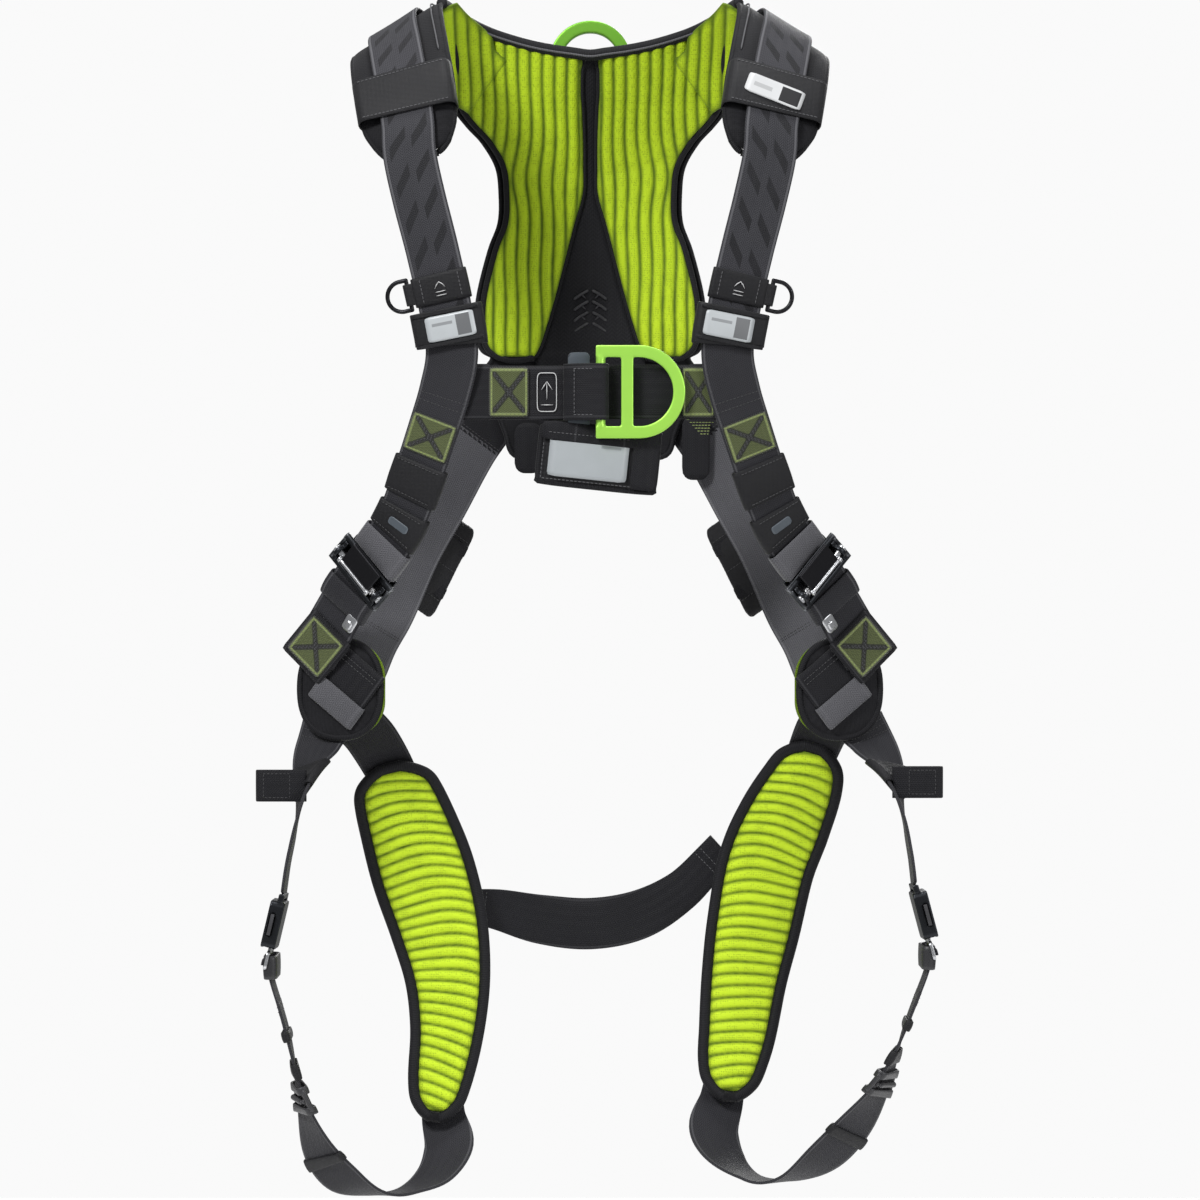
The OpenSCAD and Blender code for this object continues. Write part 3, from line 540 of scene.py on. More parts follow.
def spacer(name, low, high, hole_shade):
    """Ribbed spacer mesh: small open cells with painted shade in them, and painted shade in the channels
    between the ribs.
    """
    p = Paint(name, Sheen_Weight=0.35, Sheen_Roughness=0.4, Specular_IOR_Level=0.3)
    p.shader.inputs["Sheen Tint"].default_value = rgb(0.8, 1, 0.3)
    _, _, crest = p.lay()
    d = p.cells(1 / MESH_CELL, 0.35)
    # Painted shade: the open cells are darkened towards the hole shade colour.
    open_cell = p.sub(1.0, p.step(d, 0.16, 0.42))
    # Painted shade: the colour darkens from the crest green to the channel shade as the rib height falls.
    shade = p.step(p.mul(crest, 1000), 0.05, 0.95)
    mottled = p.mad(p.noise(60, 3), 0.5, -0.25)
    colour = p.mix(p.add(shade, mottled, clamp=True), low, high)
    colour = p.mix(p.mul(open_cell, 0.6), colour, hole_shade)
    return p.done(colour, p.mad(p.noise(700), 0.3, 0.55), p.mul(d, 1.6), 0.0005, 0.7)


def knitted(name, dark, light):
    """Black cover cloth with a fine knit and a few light fibres."""
    p = Paint(name, Sheen_Weight=0.1, Sheen_Roughness=0.5, Specular_IOR_Level=0.15)
    d = p.cells(1 / KNIT, 0.25)
    rub = p.noise(20, 5)
    tone = p.add(p.mul(d, 0.7), p.mul(p.step(rub, 0.35, 0.75), 0.45))
    return p.done(p.mix(p.mul(tone, 1.0, clamp=True), dark, light), p.mad(rub, 0.3, 0.55), d, 0.0003, 0.8)


def coated(name, dark, light):
    """Coated pouch cloth: a square weave seen through a satin coating, with soft creases in its bump and
    painted shade and highlight along them in its colour.
    """
    p = Paint(name, Coat_Weight=0.05, Coat_Roughness=0.45, Specular_IOR_Level=0.25, Sheen_Weight=0.05)
    xyz = p.node("ShaderNodeSeparateXYZ", {0: p.spot}).outputs
    weave = p.mul(p.wave(xyz[0], COAT_THREAD), p.wave(xyz[2], COAT_THREAD))
    crease_with_shade = p.noise(38, 4)
    # Painted shade and highlight: the crease noise also lightens and darkens the colour along the creases.
    colour = p.mix(p.add(p.mul(weave, 0.35), p.mul(crease_with_shade, 0.6), clamp=True), dark, light)
    return p.done(colour, p.mad(crease_with_shade, 0.3, 0.38), p.mad(crease_with_shade, 3.5, weave), 0.0004, 0.6)


def taped(name, dark, light):
    """Grosgrain binding: cross ribs, with the odd fluffed thread."""
    p = Paint(name, Sheen_Weight=0.08, Sheen_Roughness=0.4, Specular_IOR_Level=0.18)
    _, s, _ = p.lay()
    rib, fuzz = p.wave(s, 0.0015), p.noise(900)
    colour = p.mix(p.mad(rib, 0.5, p.mul(fuzz, 0.45)), dark, light)
    return p.done(colour, p.mad(fuzz, 0.25, 0.5), rib, 0.0003, 0.7)


def sewn(name, dark, light):
    """Bonded thread, twisted."""
    p = Paint(name, Sheen_Weight=0.15, Specular_IOR_Level=0.5)
    twist = p.noise(2600)
    return p.done(p.mix(twist, dark, light), 0.48, twist, 0.0002, 0.5)


def stitched_block(name, cloth, thread, cross):
    """A block of dense zigzag stitching with its border and its cross."""
    p = Paint(name, Sheen_Weight=0.2, Specular_IOR_Level=0.35)
    x, s, _ = p.lay()
    x, s = p.size(x), p.size(s)
    raw_x, raw_s, _ = p.lay()
    big = p.math("MAXIMUM", x, s)
    diag = p.size(p.sub(x, s))
    zig = p.wave(p.add(raw_s, p.math("PINGPONG", p.add(raw_x, 4.0), 0.09)), 0.085)
    fuzz = p.noise(1300)
    body = p.mix(p.mad(zig, 0.75, p.mul(fuzz, 0.3)), cloth, thread)
    dark = p.sub(1.0, p.step(diag, 0.13, 0.22))
    colour = p.mix(p.mul(dark, 0.9), body, cross)
    heart = p.sub(1.0, p.step(big, 0.16, 0.24))
    colour = p.mix(p.mul(heart, 0.85), colour, cross)
    rim = p.mul(p.step(big, 0.80, 0.83), p.sub(1.0, p.step(big, 0.91, 0.94)))
    colour = p.mix(p.mul(rim, 0.55), colour, rgb(0.26, 0.31, 0.13))
    outer = p.step(big, 0.94, 0.97)
    colour = p.mix(outer, colour, cross)
    return p.done(colour, 0.6, p.add(zig, p.mul(rim, 1.5)), 0.0004, 0.8)


def metal(name, colour, worn, rough=0.3, metallic=1.0):
    """Metal with fine scratches, slight mottling and edges rubbed bright."""
    p = Paint(name, Metallic=metallic, Specular_IOR_Level=0.5)
    stretched = p.node("ShaderNodeMapping", {"Vector": p.spot, "Scale": (1.0, 1.0, 14.0)}).outputs[0]
    scratch, mottle = p.noise(540, 3, stretched), p.noise(90, 4)
    edge = p.step(p.node("ShaderNodeNewGeometry").outputs["Pointiness"], 0.53, 0.62)
    share = p.mul(edge, p.mad(mottle, 0.8, 0.3), clamp=True)
    base = p.mix(p.mul(mottle, 0.35), colour, tuple(c * 0.72 for c in colour[:3]) + (1.0,))
    rough_now = p.add(p.mad(scratch, 0.22, rough - 0.1), p.mul(mottle, 0.08))
    return p.done(p.mix(share, base, worn), rough_now, scratch, 0.00006, 0.35)


def moulded(name, colour, light, rough=0.45):
    p = Paint(name, Specular_IOR_Level=0.45)
    spark, cloud = p.noise(900, 2), p.noise(30, 4)
    edge = p.step(p.node("ShaderNodeNewGeometry").outputs["Pointiness"], 0.52, 0.6)
    tone = p.add(p.mul(cloud, 0.4), p.mul(edge, 0.5), clamp=True)
    return p.done(p.mix(tone, colour, light), p.mad(cloud, 0.2, rough - 0.1), spark, 0.0002, 0.5)


def printed(name, ground, ink, kind):
    """A printed film card. Its print is only plain bars, boxes and rings."""
    p = Paint(name, Coat_Weight=0.3, Coat_Roughness=0.25, Specular_IOR_Level=0.5)
    x, s, _ = p.lay()
    ax, as_ = p.size(x), p.size(s)
    big = p.math("MAXIMUM", ax, as_)
    cloud = p.noise(45, 3)
    colour = p.mix(cloud, ground, tuple(c * 0.8 for c in ground[:3]) + (1.0,))
    if kind == "bars":
        bar = p.less(p.size(p.add(s, 0.68)), 0.07)
        bar = p.mul(bar, p.less(p.size(p.sub(x, 0.55)), 0.25))
        colour = p.mix(p.mul(bar, 0.4), colour, ink)
    elif kind == "half":
        dark = p.less(x, -0.12)
        frame_line = p.over(p.math("MAXIMUM", p.size(p.mul(p.add(x, 0.54), 2.3)), as_), 0.78)
        bar = p.mul(p.less(p.size(p.sub(x, 0.42)), 0.32), p.less(as_, 0.22))
        colour = p.mix(p.mul(bar, 0.3), colour, ink)
        colour = p.mix(p.mul(dark, p.sub(1.0, frame_line)), colour, ink)
    elif kind == "window":
        box = p.mul(p.over(x, 0.25), p.less(big, 0.82))
        colour = p.mix(p.mul(box, 0.8), colour, ink)
        bar = p.mul(p.less(p.size(p.add(x, 0.32)), 0.42), p.less(p.size(p.add(s, 0.3)), 0.12))
        colour = p.mix(p.mul(bar, 0.5), colour, ink)
    return p.done(colour, p.mad(cloud, 0.2, 0.3), cloud, 0.0002, 0.4)


M = {
    # Spacer colours, in order: painted shade in the rib channels, the green of the crests, painted shade in
    # the open cells
    "green": spacer("spacer_back", rgb(0.085, 0.145, 0.002), rgb(0.46, 0.64, 0.012),
                    rgb(0.16, 0.26, 0.003)),
    "green_leg": spacer("spacer_leg", rgb(0.11, 0.18, 0.003), rgb(0.55, 0.75, 0.02),
                        rgb(0.21, 0.32, 0.005)),
    "cover": knitted("pad_cover", rgb(0.003, 0.003, 0.004), rgb(0.016, 0.016, 0.019)),
    "binding": taped("binding_tape", rgb(0.003, 0.003, 0.004), rgb(0.017, 0.017, 0.020)),
    "piping": taped("grey_piping", rgb(0.05, 0.05, 0.055), rgb(0.16, 0.16, 0.17)),
    "pouch": coated("pouch_cloth", rgb(0.003, 0.003, 0.004), rgb(0.014, 0.014, 0.017)),
    "black": woven("black_webbing", rgb(0.003, 0.003, 0.004), rgb(0.018, 0.018, 0.022), edge=0.06),
    "load": woven("load_webbing", rgb(0.015, 0.015, 0.018), rgb(0.060, 0.060, 0.069), dashes=True,
                  edge=0.25),
    "leg": woven("leg_webbing", rgb(0.009, 0.009, 0.011), rgb(0.042, 0.042, 0.049), edge=0.16),
    "grey": woven("grey_webbing", rgb(0.034, 0.034, 0.039), rgb(0.125, 0.125, 0.138), edge=0.2),
    "satin": woven("satin_webbing", rgb(0.035, 0.035, 0.04), rgb(0.150, 0.150, 0.165), edge=0.05,
                   sheen=0.3),
    "spine": woven("spine_webbing", rgb(0.003, 0.003, 0.004), rgb(0.014, 0.014, 0.017), edge=0.0,
                   twill=0.0035, half=0.5),
    "olive": stitched_block("olive_stitching", rgb(0.022, 0.028, 0.008), rgb(0.115, 0.142, 0.042),
                            rgb(0.010, 0.011, 0.009)),
    "thread": sewn("black_thread", rgb(0.012, 0.012, 0.014), rgb(0.05, 0.05, 0.055)),
    "grey_thread": sewn("grey_thread", rgb(0.05, 0.05, 0.055), rgb(0.13, 0.13, 0.14)),
    "lime_thread": sewn("lime_thread", rgb(0.16, 0.21, 0.04), rgb(0.36, 0.44, 0.13)),
    "dorsal": metal("green_dorsal", rgb(0.20, 0.52, 0.045), rgb(0.45, 0.72, 0.25), 0.34, 0.55),
    "chest": metal("green_chest", rgb(0.40, 0.80, 0.10), rgb(0.72, 0.95, 0.45), 0.34, 0.4),
    "black_steel": metal("black_steel", rgb(0.022, 0.022, 0.025), rgb(0.16, 0.16, 0.17), 0.34, 0.9),
    "buckle": metal("buckle_coat", rgb(0.026, 0.028, 0.032), rgb(0.28, 0.29, 0.31), 0.33, 0.9),
    "steel": metal("bright_steel", rgb(0.50, 0.51, 0.53), rgb(0.8, 0.8, 0.82), 0.28),
    "wire": metal("spring_wire", rgb(0.42, 0.42, 0.44), rgb(0.7, 0.7, 0.7), 0.3),
    "plastic": moulded("black_plastic", rgb(0.012, 0.012, 0.014), rgb(0.045, 0.045, 0.05)),
    "slate": moulded("slate_plastic", rgb(0.05, 0.062, 0.075), rgb(0.12, 0.14, 0.165), 0.4),
    "card": printed("card_film", rgb(0.50, 0.53, 0.55), rgb(0.05, 0.05, 0.055), "window"),
    "plain_card": printed("pouch_card", rgb(0.40, 0.43, 0.45), rgb(0.1, 0.11, 0.12), "bars"),
    "half_card": printed("shoulder_card", rgb(0.62, 0.63, 0.64), rgb(0.012, 0.012, 0.014), "half"),
    "white": printed("white_print", rgb(0.62, 0.62, 0.63), rgb(0.1, 0.1, 0.1), "none"),
}
# The record slot named for each look; make passes it to settle, which doesn't use it
SLOT = {
    "binding": "binding", "piping": "binding", "pouch": "pouch_fabric", "grey_thread": "pouch_fabric",
    "spine": "pouch_fabric", "black": "black_webbing", "leg": "leg_webbing", "cover": "pad_cover",
    "green": "back_mesh", "green_leg": "leg_mesh", "wire": "spring_steel", "white": "label_silver",
    "plain_card": "label_silver", "half_card": "label_silver", "card": "label_silver",
    "steel": "bright_steel", "satin": "grey_webbing", "grey": "grey_webbing",
    "lime_thread": "load_webbing", "thread": "load_webbing", "olive": "load_webbing",
    "load": "load_webbing", "slate": "black_plastic", "plastic": "black_plastic",
    "buckle": "buckle_coat",
}


# ---- Cloth ----

PRESSURE, FRAMES, STRETCH_STIFF, BEND_STIFF = 6.0, 12, 18, 0.6


def puff(ob, cap, voxel=0.0024):
    """Swells a closed shape by cloth simulation, moves no point further than cap, and rounds it."""
    bpy.context.view_layer.objects.active = ob
    m = ob.modifiers.new("remesh", "REMESH")
    m.mode, m.voxel_size = "VOXEL", voxel
    bpy.ops.object.modifier_apply(modifier="remesh")
    rest = points_of(ob.data)
    cloth = ob.modifiers.new("cloth", "CLOTH")
    set_up = cloth.settings
    set_up.use_pressure, set_up.uniform_pressure_force = True, PRESSURE
    set_up.effector_weights.gravity = 0
    set_up.quality = 4
    set_up.tension_stiffness = set_up.compression_stiffness = STRETCH_STIFF
    set_up.bending_stiffness = BEND_STIFF
    cloth.point_cache.frame_start, cloth.point_cache.frame_end = 1, FRAMES
    for f in range(1, FRAMES + 1):
        scene.frame_set(f)
    done = ob.evaluated_get(bpy.context.evaluated_depsgraph_get())
    moved = points_of(done.data) - rest
    ob.modifiers.remove(cloth)
    far = np.linalg.norm(moved, axis=1, keepdims=True)
    put_points(ob.data, rest + moved * np.minimum(1, cap / np.maximum(far, 1e-9)))
    scene.frame_set(1)
    ob.data.polygons.foreach_set("use_smooth", [True] * len(ob.data.polygons))
    m = ob.modifiers.new("round", "SUBSURF")
    m.levels = m.render_levels = 1
    return ob


def points_of(me):
    co = np.zeros(len(me.vertices) * 3, np.float32)
    me.vertices.foreach_get("co", co)
    return co.reshape(-1, 3).astype(float)


def put_points(me, co):
    me.vertices.foreach_set("co", np.asarray(co, np.float32).ravel())
    me.update()


def twin(ob, name):
    """A mirrored copy for the right side."""
    me = ob.data.copy()
    put_points(me, points_of(me) * [-1, 1, 1])
    me.flip_normals()
    new = bpy.data.objects.new(name, me)
    scene.collection.objects.link(new)
    for m in ob.modifiers:
        copy = new.modifiers.new(m.name, m.type)
        copy.levels = copy.render_levels = m.render_levels
    return new


def pillow(line, s0, s1, w_of, thick, lift, ns=18, square=3.0, ends=5):
    """A closed pad along a line: its edge is thinner than its middle, and its corners are round."""
    k = np.linspace(0, 1, ns + 1)
    s = s0 + (s1 - s0) * k
    end = (1 - np.abs(2 * k - 1) ** ends) ** 0.5
    rings = []
    for i in range(len(k)):
        e = max(end[i], 0.16)
        a = np.linspace(0, TAU, 40, endpoint=False)
        c, d = np.cos(a), np.sin(a)
        x = np.sign(c) * np.abs(c) ** (2 / square) * w_of(s[i]) / 2 * (0.55 + 0.45 * e)
        h = np.sign(d) * np.abs(d) ** (2 / square) * thick / 2 * e + lift
        rings.append(line.put(x, h, s[i]))
    rings = np.array(rings)
    return rings, sweep(rings)


# ---- Camera, light, floor ----

VIEW_X, VIEW_Z, VIEW_M, VIEW_WIDE = 0.0085, -0.4845, 3.8, 1.020
cam = bpy.data.cameras.new("camera")
cam.sensor_width, cam.clip_end = 36, 60
cam.lens = 36 * VIEW_M / VIEW_WIDE
eye = bpy.data.objects.new("camera", cam)
eye.location, eye.rotation_euler = (VIEW_X, -VIEW_M, VIEW_Z), (math.radians(90), 0, 0)
scene.collection.objects.link(eye)
scene.camera = eye


def lamp(name, where, look, size, watts):
    data = bpy.data.lights.new(name, "AREA")
    data.shape, data.size, data.energy = "DISK", size, watts
    ob = bpy.data.objects.new(name, data)
    ob.location = where
    ob.rotation_euler = (Vector(look) - Vector(where)).to_track_quat("-Z", "Y").to_euler()
    scene.collection.objects.link(ob)


lamp("key", (-1.6, -2.4, 1.7), (0, 0, -0.5), 0.9, 95)
lamp("fill", (2.2, -2.2, 0.2), (0, 0, -0.5), 1.4, 30)
lamp("top", (0.2, -0.2, 2.4), (0, 0, -0.4), 1.0, 42)
lamp("back", (0.8, 2.6, 0.9), (0, 0, -0.5), 1.4, 40)
world = bpy.data.worlds.new("studio")
world.use_nodes = True
SKY_LIGHT, SKY_SHOWN = 0.34, 0.955
sky = world.node_tree
ray, level = sky.nodes.new("ShaderNodeLightPath"), sky.nodes.new("ShaderNodeMapRange")
level.inputs["To Min"].default_value, level.inputs["To Max"].default_value = SKY_LIGHT, SKY_SHOWN
sky.links.new(ray.outputs["Is Camera Ray"], level.inputs["Value"])
sky.links.new(level.outputs[0], sky.nodes["Background"].inputs["Strength"])
sky.nodes["Background"].inputs["Color"].default_value = (1, 1, 1, 1)
scene.world = world
scene.view_settings.view_transform = "Standard"

floor_paint = Paint("floor")
floor_mat = floor_paint.done(floor_paint.mix(floor_paint.noise(3, 4), rgb(0.90, 0.90, 0.90),
                                             rgb(0.93, 0.93, 0.93)), 0.85)
floor_mesh = bpy.data.meshes.new("floor")
FLOOR_Z, FLOOR_HALF = -1.12, 0.95
floor_mesh.from_pydata([(-FLOOR_HALF, -FLOOR_HALF, FLOOR_Z), (FLOOR_HALF, -FLOOR_HALF, FLOOR_Z),
                        (FLOOR_HALF, FLOOR_HALF, FLOOR_Z), (-FLOOR_HALF, FLOOR_HALF, FLOOR_Z)], [],
                        [(0, 1, 2, 3)])
floor_mesh.materials.append(floor_mat)
floor = bpy.data.objects.new("floor", floor_mesh)
scene.collection.objects.link(floor)

# ---- Back: ribbed mesh panels, bound edges, shell, stripe ----

RIB, RIB_H = 10.5, 2.8


def ribs(q):
    """Round ribs with narrow channels, 0 in a channel and 1 on a crest, at q ribs from a channel."""
    return np.abs(np.sin(math.pi * q)) ** 0.75


def back_rows(n, top=0.0):
    return np.array([spline(PANEL, u) for u in np.linspace(top, len(PANEL) - 1, n)])


def back_mesh():
    soup = Soup()
    rows = back_rows(150)
    m, back = 112, 8
    z, xo, xi, y = rows.T
    k = np.linspace(0, 1, m)[None, :]
    x = xo[:, None] + (xi - xo)[:, None] * k
    zz = np.broadcast_to(z[:, None], x.shape)
    edge = np.minimum(np.minimum(x - xo[:, None], xi[:, None] - x), (z - z.min())[:, None])
    top = np.interp(x, [r[2] for r in PANEL[:3]], [r[0] for r in PANEL[:3]]) - zz
    fall = np.clip(np.minimum(edge, top + 2.5) / 8, 0, 1)
    fall = np.sqrt(fall * (2 - fall))
    drift = 1.1 * np.sin(zz / 41) + 0.6 * np.sin(zz / 13 + x / 23)
    drift = drift + 5 * np.exp(-((zz + 117) / 22) ** 2) * np.abs(x / 70) ** 2
    crest = ribs((x + drift) / RIB)
    waist = 1 - 0.35 * np.exp(-((zz + 117 + 0.2 * x) / 5) ** 2)
    bulge = 1.5 * np.sin(math.pi * k) ** 0.7
    face = 1.5 + fall * (2.2 + bulge + RIB_H * crest * waist)
    front = np.stack([x, y[:, None] - face, zz], -1)
    kb = np.linspace(1, 0, back)[None, :]
    xb = xo[:, None] + (xi - xo)[:, None] * kb
    behind = np.stack([xb, np.broadcast_to((y + BACK_PAD_T / 2 - 0.5)[:, None], xb.shape),
                       np.broadcast_to(z[:, None], xb.shape)], -1)
    rings = np.concatenate([front, behind], 1)
    lay = np.zeros_like(rings)
    lay[..., 0], lay[..., 1] = rings[..., 0], rings[..., 2]
    # The crest height stored here sets the spacer's painted shade in the rib channels, here and in the other
    # ribbed linings.
    lay[:, :m, 2] = crest * fall
    return soup.loft(rings, lay)


for side, right in SIDES:
    back_mesh().make("back_mesh_" + side, "green", "back_pad_" + side, right=right)

# Bound edge round each panel
edge = Soup()
rows = back_rows(34, 0.6)
outer = [(r[1] - 1.5, r[3] + 0.5, r[0]) for r in rows]
inner = [(r[2] + 1.0, r[3] - 0.5, r[0]) for r in rows if r[0] > -280][::-1]
foot = [(x, rows[-1][3], rows[-1][0] - 2.5) for x in (-70, -62)]
tube(edge, outer + foot + inner[:1], 3.9, 0.85, up=(0, 1, 0))
tube(edge, inner, 1.8, 0.9, up=(0, 1, 0), sides=8)
edge.mirror().make("panel_binding", "binding")

# Shell: black mesh cloth behind, with a bound rim and quilting lines
shell_rows = ([[r[0], r[1] - 7, r[3] + 7.9] for r in PANEL if r[0] < -10]
              + [[-284, -91, 107.9], [-300, -91, 107.5], [-318, -82, 106.6], [-338, -74, 105.6],
                 [-358, -66, 105]])


def shell():
    soup = Soup()
    rows = np.array([spline(shell_rows, u) for u in np.linspace(0, len(shell_rows) - 1, 110)])
    m = 72
    k = np.linspace(-1, 1, m)[None, :]
    z, xo, y = rows.T
    x = -xo[:, None] * k
    zz = np.broadcast_to(z[:, None], x.shape)
    rim = np.clip((np.abs(xo)[:, None] - np.abs(x)) / 6, 0, 1) * np.clip((zz - z.min()) / 6, 0, 1)
    rim = np.sqrt(rim * (2 - rim))
    quilt = (1 - np.exp(-(((x / 3 + zz) % 34 - 17) / 1.6) ** 2) * 0.8
             - np.exp(-(((x / 3 - zz) % 34 - 17) / 1.6) ** 2) * 0.8)
    back = y[:, None] + 0.2 + rim * (1.4 + 0.7 * quilt)
    front = y[:, None] - 1.2 + 0 * x
    rings = np.concatenate([np.stack([x, front, zz], -1), np.stack([x, back, zz], -1)[:, ::-1]], 1)
    lay = rings[..., [0, 2, 1]]
    return soup.loft(rings, lay)


shell().make("back_cover", "cover", "back_shell")
rim = Soup()
rim_line = [(r[1], r[2] - 0.2, r[0]) for r in shell_rows]
tube(rim, rim_line + [(-36, 104.8, -361), (0, 104.8, -362)], 2.7, 0.9, up=(0, 1, 0), sides=8, ends=False)
rim.mirror().make("back_cover_rim", "binding")

# Stripe between the panels with its raised chevrons
stripe = Soup()
stripe_rows = ([[-15, 12, 79.5], [-23, 10.5, 82]]
               + [[r[0], -r[2] - 0.5, r[3]] for r in PANEL if r[0] < -20]
               + [[-286, 46, 101.5], [-294, 45, 100.5]])
rows = np.array([spline(stripe_rows, u) for u in np.linspace(0, len(stripe_rows) - 1, 96)])
k = np.linspace(-1, 1, 24)[None, :]
x = rows[:, 1:2] * k
front = rows[:, 2:3] + 1.8 - 1.2 * (1 - k ** 2)
zz = np.broadcast_to(rows[:, 0:1], x.shape)
rings = np.concatenate([np.stack([x, front, zz], -1),
                        np.stack([x, front * 0 + rows[:, 2:3] + 5.6, zz], -1)[:, ::-1]], 1)
stripe.loft(rings, rings[..., [0, 2, 1]])
stripe.make("spine_stripe", "spine", "spine_web")
chevrons = Soup()
for j in range(5):
    for sgn in (-1, 1):
        z0 = -214 - j * 9.5
        tube(chevrons, [(sgn * 1.5, 105.2, z0), (sgn * 8, 105.2, z0 - 3.5), (sgn * 14.5, 105.4, z0 - 8)],
             1.5, 0.8, up=(0, 1, 0), sides=8, steps=4)
        tube(chevrons, [(sgn * 4, 105.2, z0 - 7), (sgn * 9, 105.3, z0 - 2.5)], 0.9, 0.8, up=(0, 1, 0),
             sides=6, steps=3)
chevrons.make("spine_chevrons", "plastic/pouch_fabric")

# Collar roll
half = [tuple(spline(COLLAR, u)) for u in np.linspace(0, len(COLLAR) - 1, 14)]
half = [(a, b - 5, c) for a, b, c in half]
whole = half + [(-a, b, c) for a, b, c in half[-2::-1]]
tube(Soup(), whole, 5.0, 0.95, sides=14, steps=5).make("collar_roll", "binding", "collar_binding")
tube(Soup(), [(a, b - 4.4, c - 1.5) for a, b, c in whole], 1.0, 0.9, sides=6, steps=5).make(
    "collar_light_piping", "piping")
seam_line = Soup()
collar = path(whole, (0, 0, 1))
seam(seam_line, collar, [(-2.6, 6), (-2.6, collar.length - 6)], -3.6)
seam_line.make("collar_stitches", "grey_thread/binding")

# Webbing tails below the panel
tails = Soup()
for x, y, z, l in ((-54, 98, -352, 44), (92, 92, -352, 56)):
    on = Plane((x, y + 1.5, z), (1, 0, 0), (0, -1, 0))
    plate(tails, on, 24, l, 2.6, 9, h=-1.3, dome=0.8, lay=cloth_along)
tails.make("panel_tails", "black", "back_tabs")

# ---- Shoulders ----
pad_line = strap(PAD)
cushion = Soup()
cushion.add(*pillow(pad_line, 2, pad_line.length + 2, lambda s: pad_line.wide(s) + 2, PAD_T - 3.5, -0.6,
                    ns=30, ends=14))
pad = cushion.make("shoulder_cushion_left", "cover", raw=True)
puff(pad, 0.0028)
other = twin(pad, "shoulder_cushion_right")
for ob, side in ((pad, "left"), (other, "right")):
    settle(ob, "pad_cover", "shoulder_pad_" + side)
lining = Soup()
n, m = 84, 76
s = np.linspace(-6, pad_line.at(3.1), n)[:, None]
k = np.linspace(-1, 1, m)[None, :]
halfw = np.clip(pad_line.wide(s) / 2 - 7, 0, 34) * np.clip((s[-1] - s + 2) / 16, 0.1, 1) ** 0.4
to_collar = 18 * np.clip((s + 6) / 24, 0.55, 1)
x = halfw * k + to_collar * np.clip(k, 0, 1) ** 1.5
seen = pad_line.put(x, -PAD_T / 2, s)
crest = ribs((seen[..., 0] + 1.1 * np.sin(seen[..., 2] / 41)
              + 0.6 * np.sin(seen[..., 2] / 13 + seen[..., 0] / 23)) / RIB)
fall = np.sqrt(np.clip(np.minimum(np.minimum(halfw + to_collar - x, halfw + x), s + 8) / 8, 0, 1))
h = -(PAD_T / 2 - 1.0 + fall * (1.0 + 2.2 * crest))
rings = np.concatenate([pad_line.put(x, h, s), pad_line.put(x, -(PAD_T / 2 - 2.5), s)[:, ::-1]], 1)
lay = np.zeros_like(rings)
lay[:, :m, 2] = crest * fall
lining.loft(rings, lay)
lining.mirror().make("shoulder_lining", "green")
piping = Soup()
ss = np.concatenate([np.linspace(9, pad_line.length - 11, 22),
                     pad_line.length + np.array([-8, -5, -3, -1.2, 0.2, 1.2])])
full = 0.55 + 0.45 * np.sqrt(1 - np.abs(2 * (ss - 2) / pad_line.length - 1) ** 14)
sides_of_pad = [[pad_line.put(sgn * f * (pad_line.wide(v) / 2 - 0.4), -0.6, v) for v, f in zip(ss, full)]
                for sgn in (-1, 1)]
tube(piping, sides_of_pad[0] + [pad_line.put(0, -0.6, pad_line.length + 0.8)] + sides_of_pad[1][::-1],
     2.6, 1.0, sides=8, steps=3)
tube(Soup(), [pad_line.put(pad_line.wide(v) / 2 - 6, 5.2, v)
              for v in np.linspace(30, pad_line.at(5.2), 18)], 0.9, 0.8, sides=6, steps=3).mirror().make(
    "shoulder_light_piping", "piping")
piping.mirror().make("shoulder_piping", "binding")

KEEP_T = PAD_T + WEB_T + 9 * GAP
sleeves = Soup()
a, b = pad_line.at(5.6), pad_line.at(6.7)
sleeve(sleeves, pad_line, a, b, PAD_W + 0.5, KEEP_T, lift=(KEEP_T - PAD_T) / 2 - GAP, puff=0.7)
sleeves.mirror().make("shoulder_sleeves", "pouch", "shoulder_keepers")
marks = Soup()
top_h = (KEEP_T - PAD_T) / 2 - GAP + KEEP_T / 2 + WALL + 0.9
for v in (a + 3, b - 3):
    seam(marks, pad_line, [(-PAD_W / 2 + 4, v), (PAD_W / 2 - 4, v)], top_h - 0.6)
marks.mirror().make("shoulder_sleeve_stitches", "grey_thread")
badge = Soup()
on = flat_on(pad_line, (a + b) / 2 + 4, turn=-9)
plate(badge, on, 50, 19, 0.7, 3, h=top_h - 0.3, x=2)
badge.make("shoulder_card", "half_card", right=True)

front_line = strap([list(spline(PAD, u)[:3] + pad_line.axes(pad_line.at(u))[2]
                         * (PAD_T / 2 + WEB_T / 2 + 5 * GAP))
                    + [spline(PAD, u)[3], spline(PAD, u)[4], 45] for u in range(1, 8)] + CHEST)


def chest_at(k):
    """Arc length on the front webbing at chest station k."""
    return front_line.at(FIRST_CHEST + k)


for side, right in SIDES:
    change = chest_at(3.4)
    webbing(Soup(), front_line, 0, change, at=0 if right else 11).make(
        "front_webbing_" + side, "load", "front_strap_" + side, right=right)
    webbing(Soup(), front_line, change, None).make("front_webbing_low_" + side, "leg", right=right)

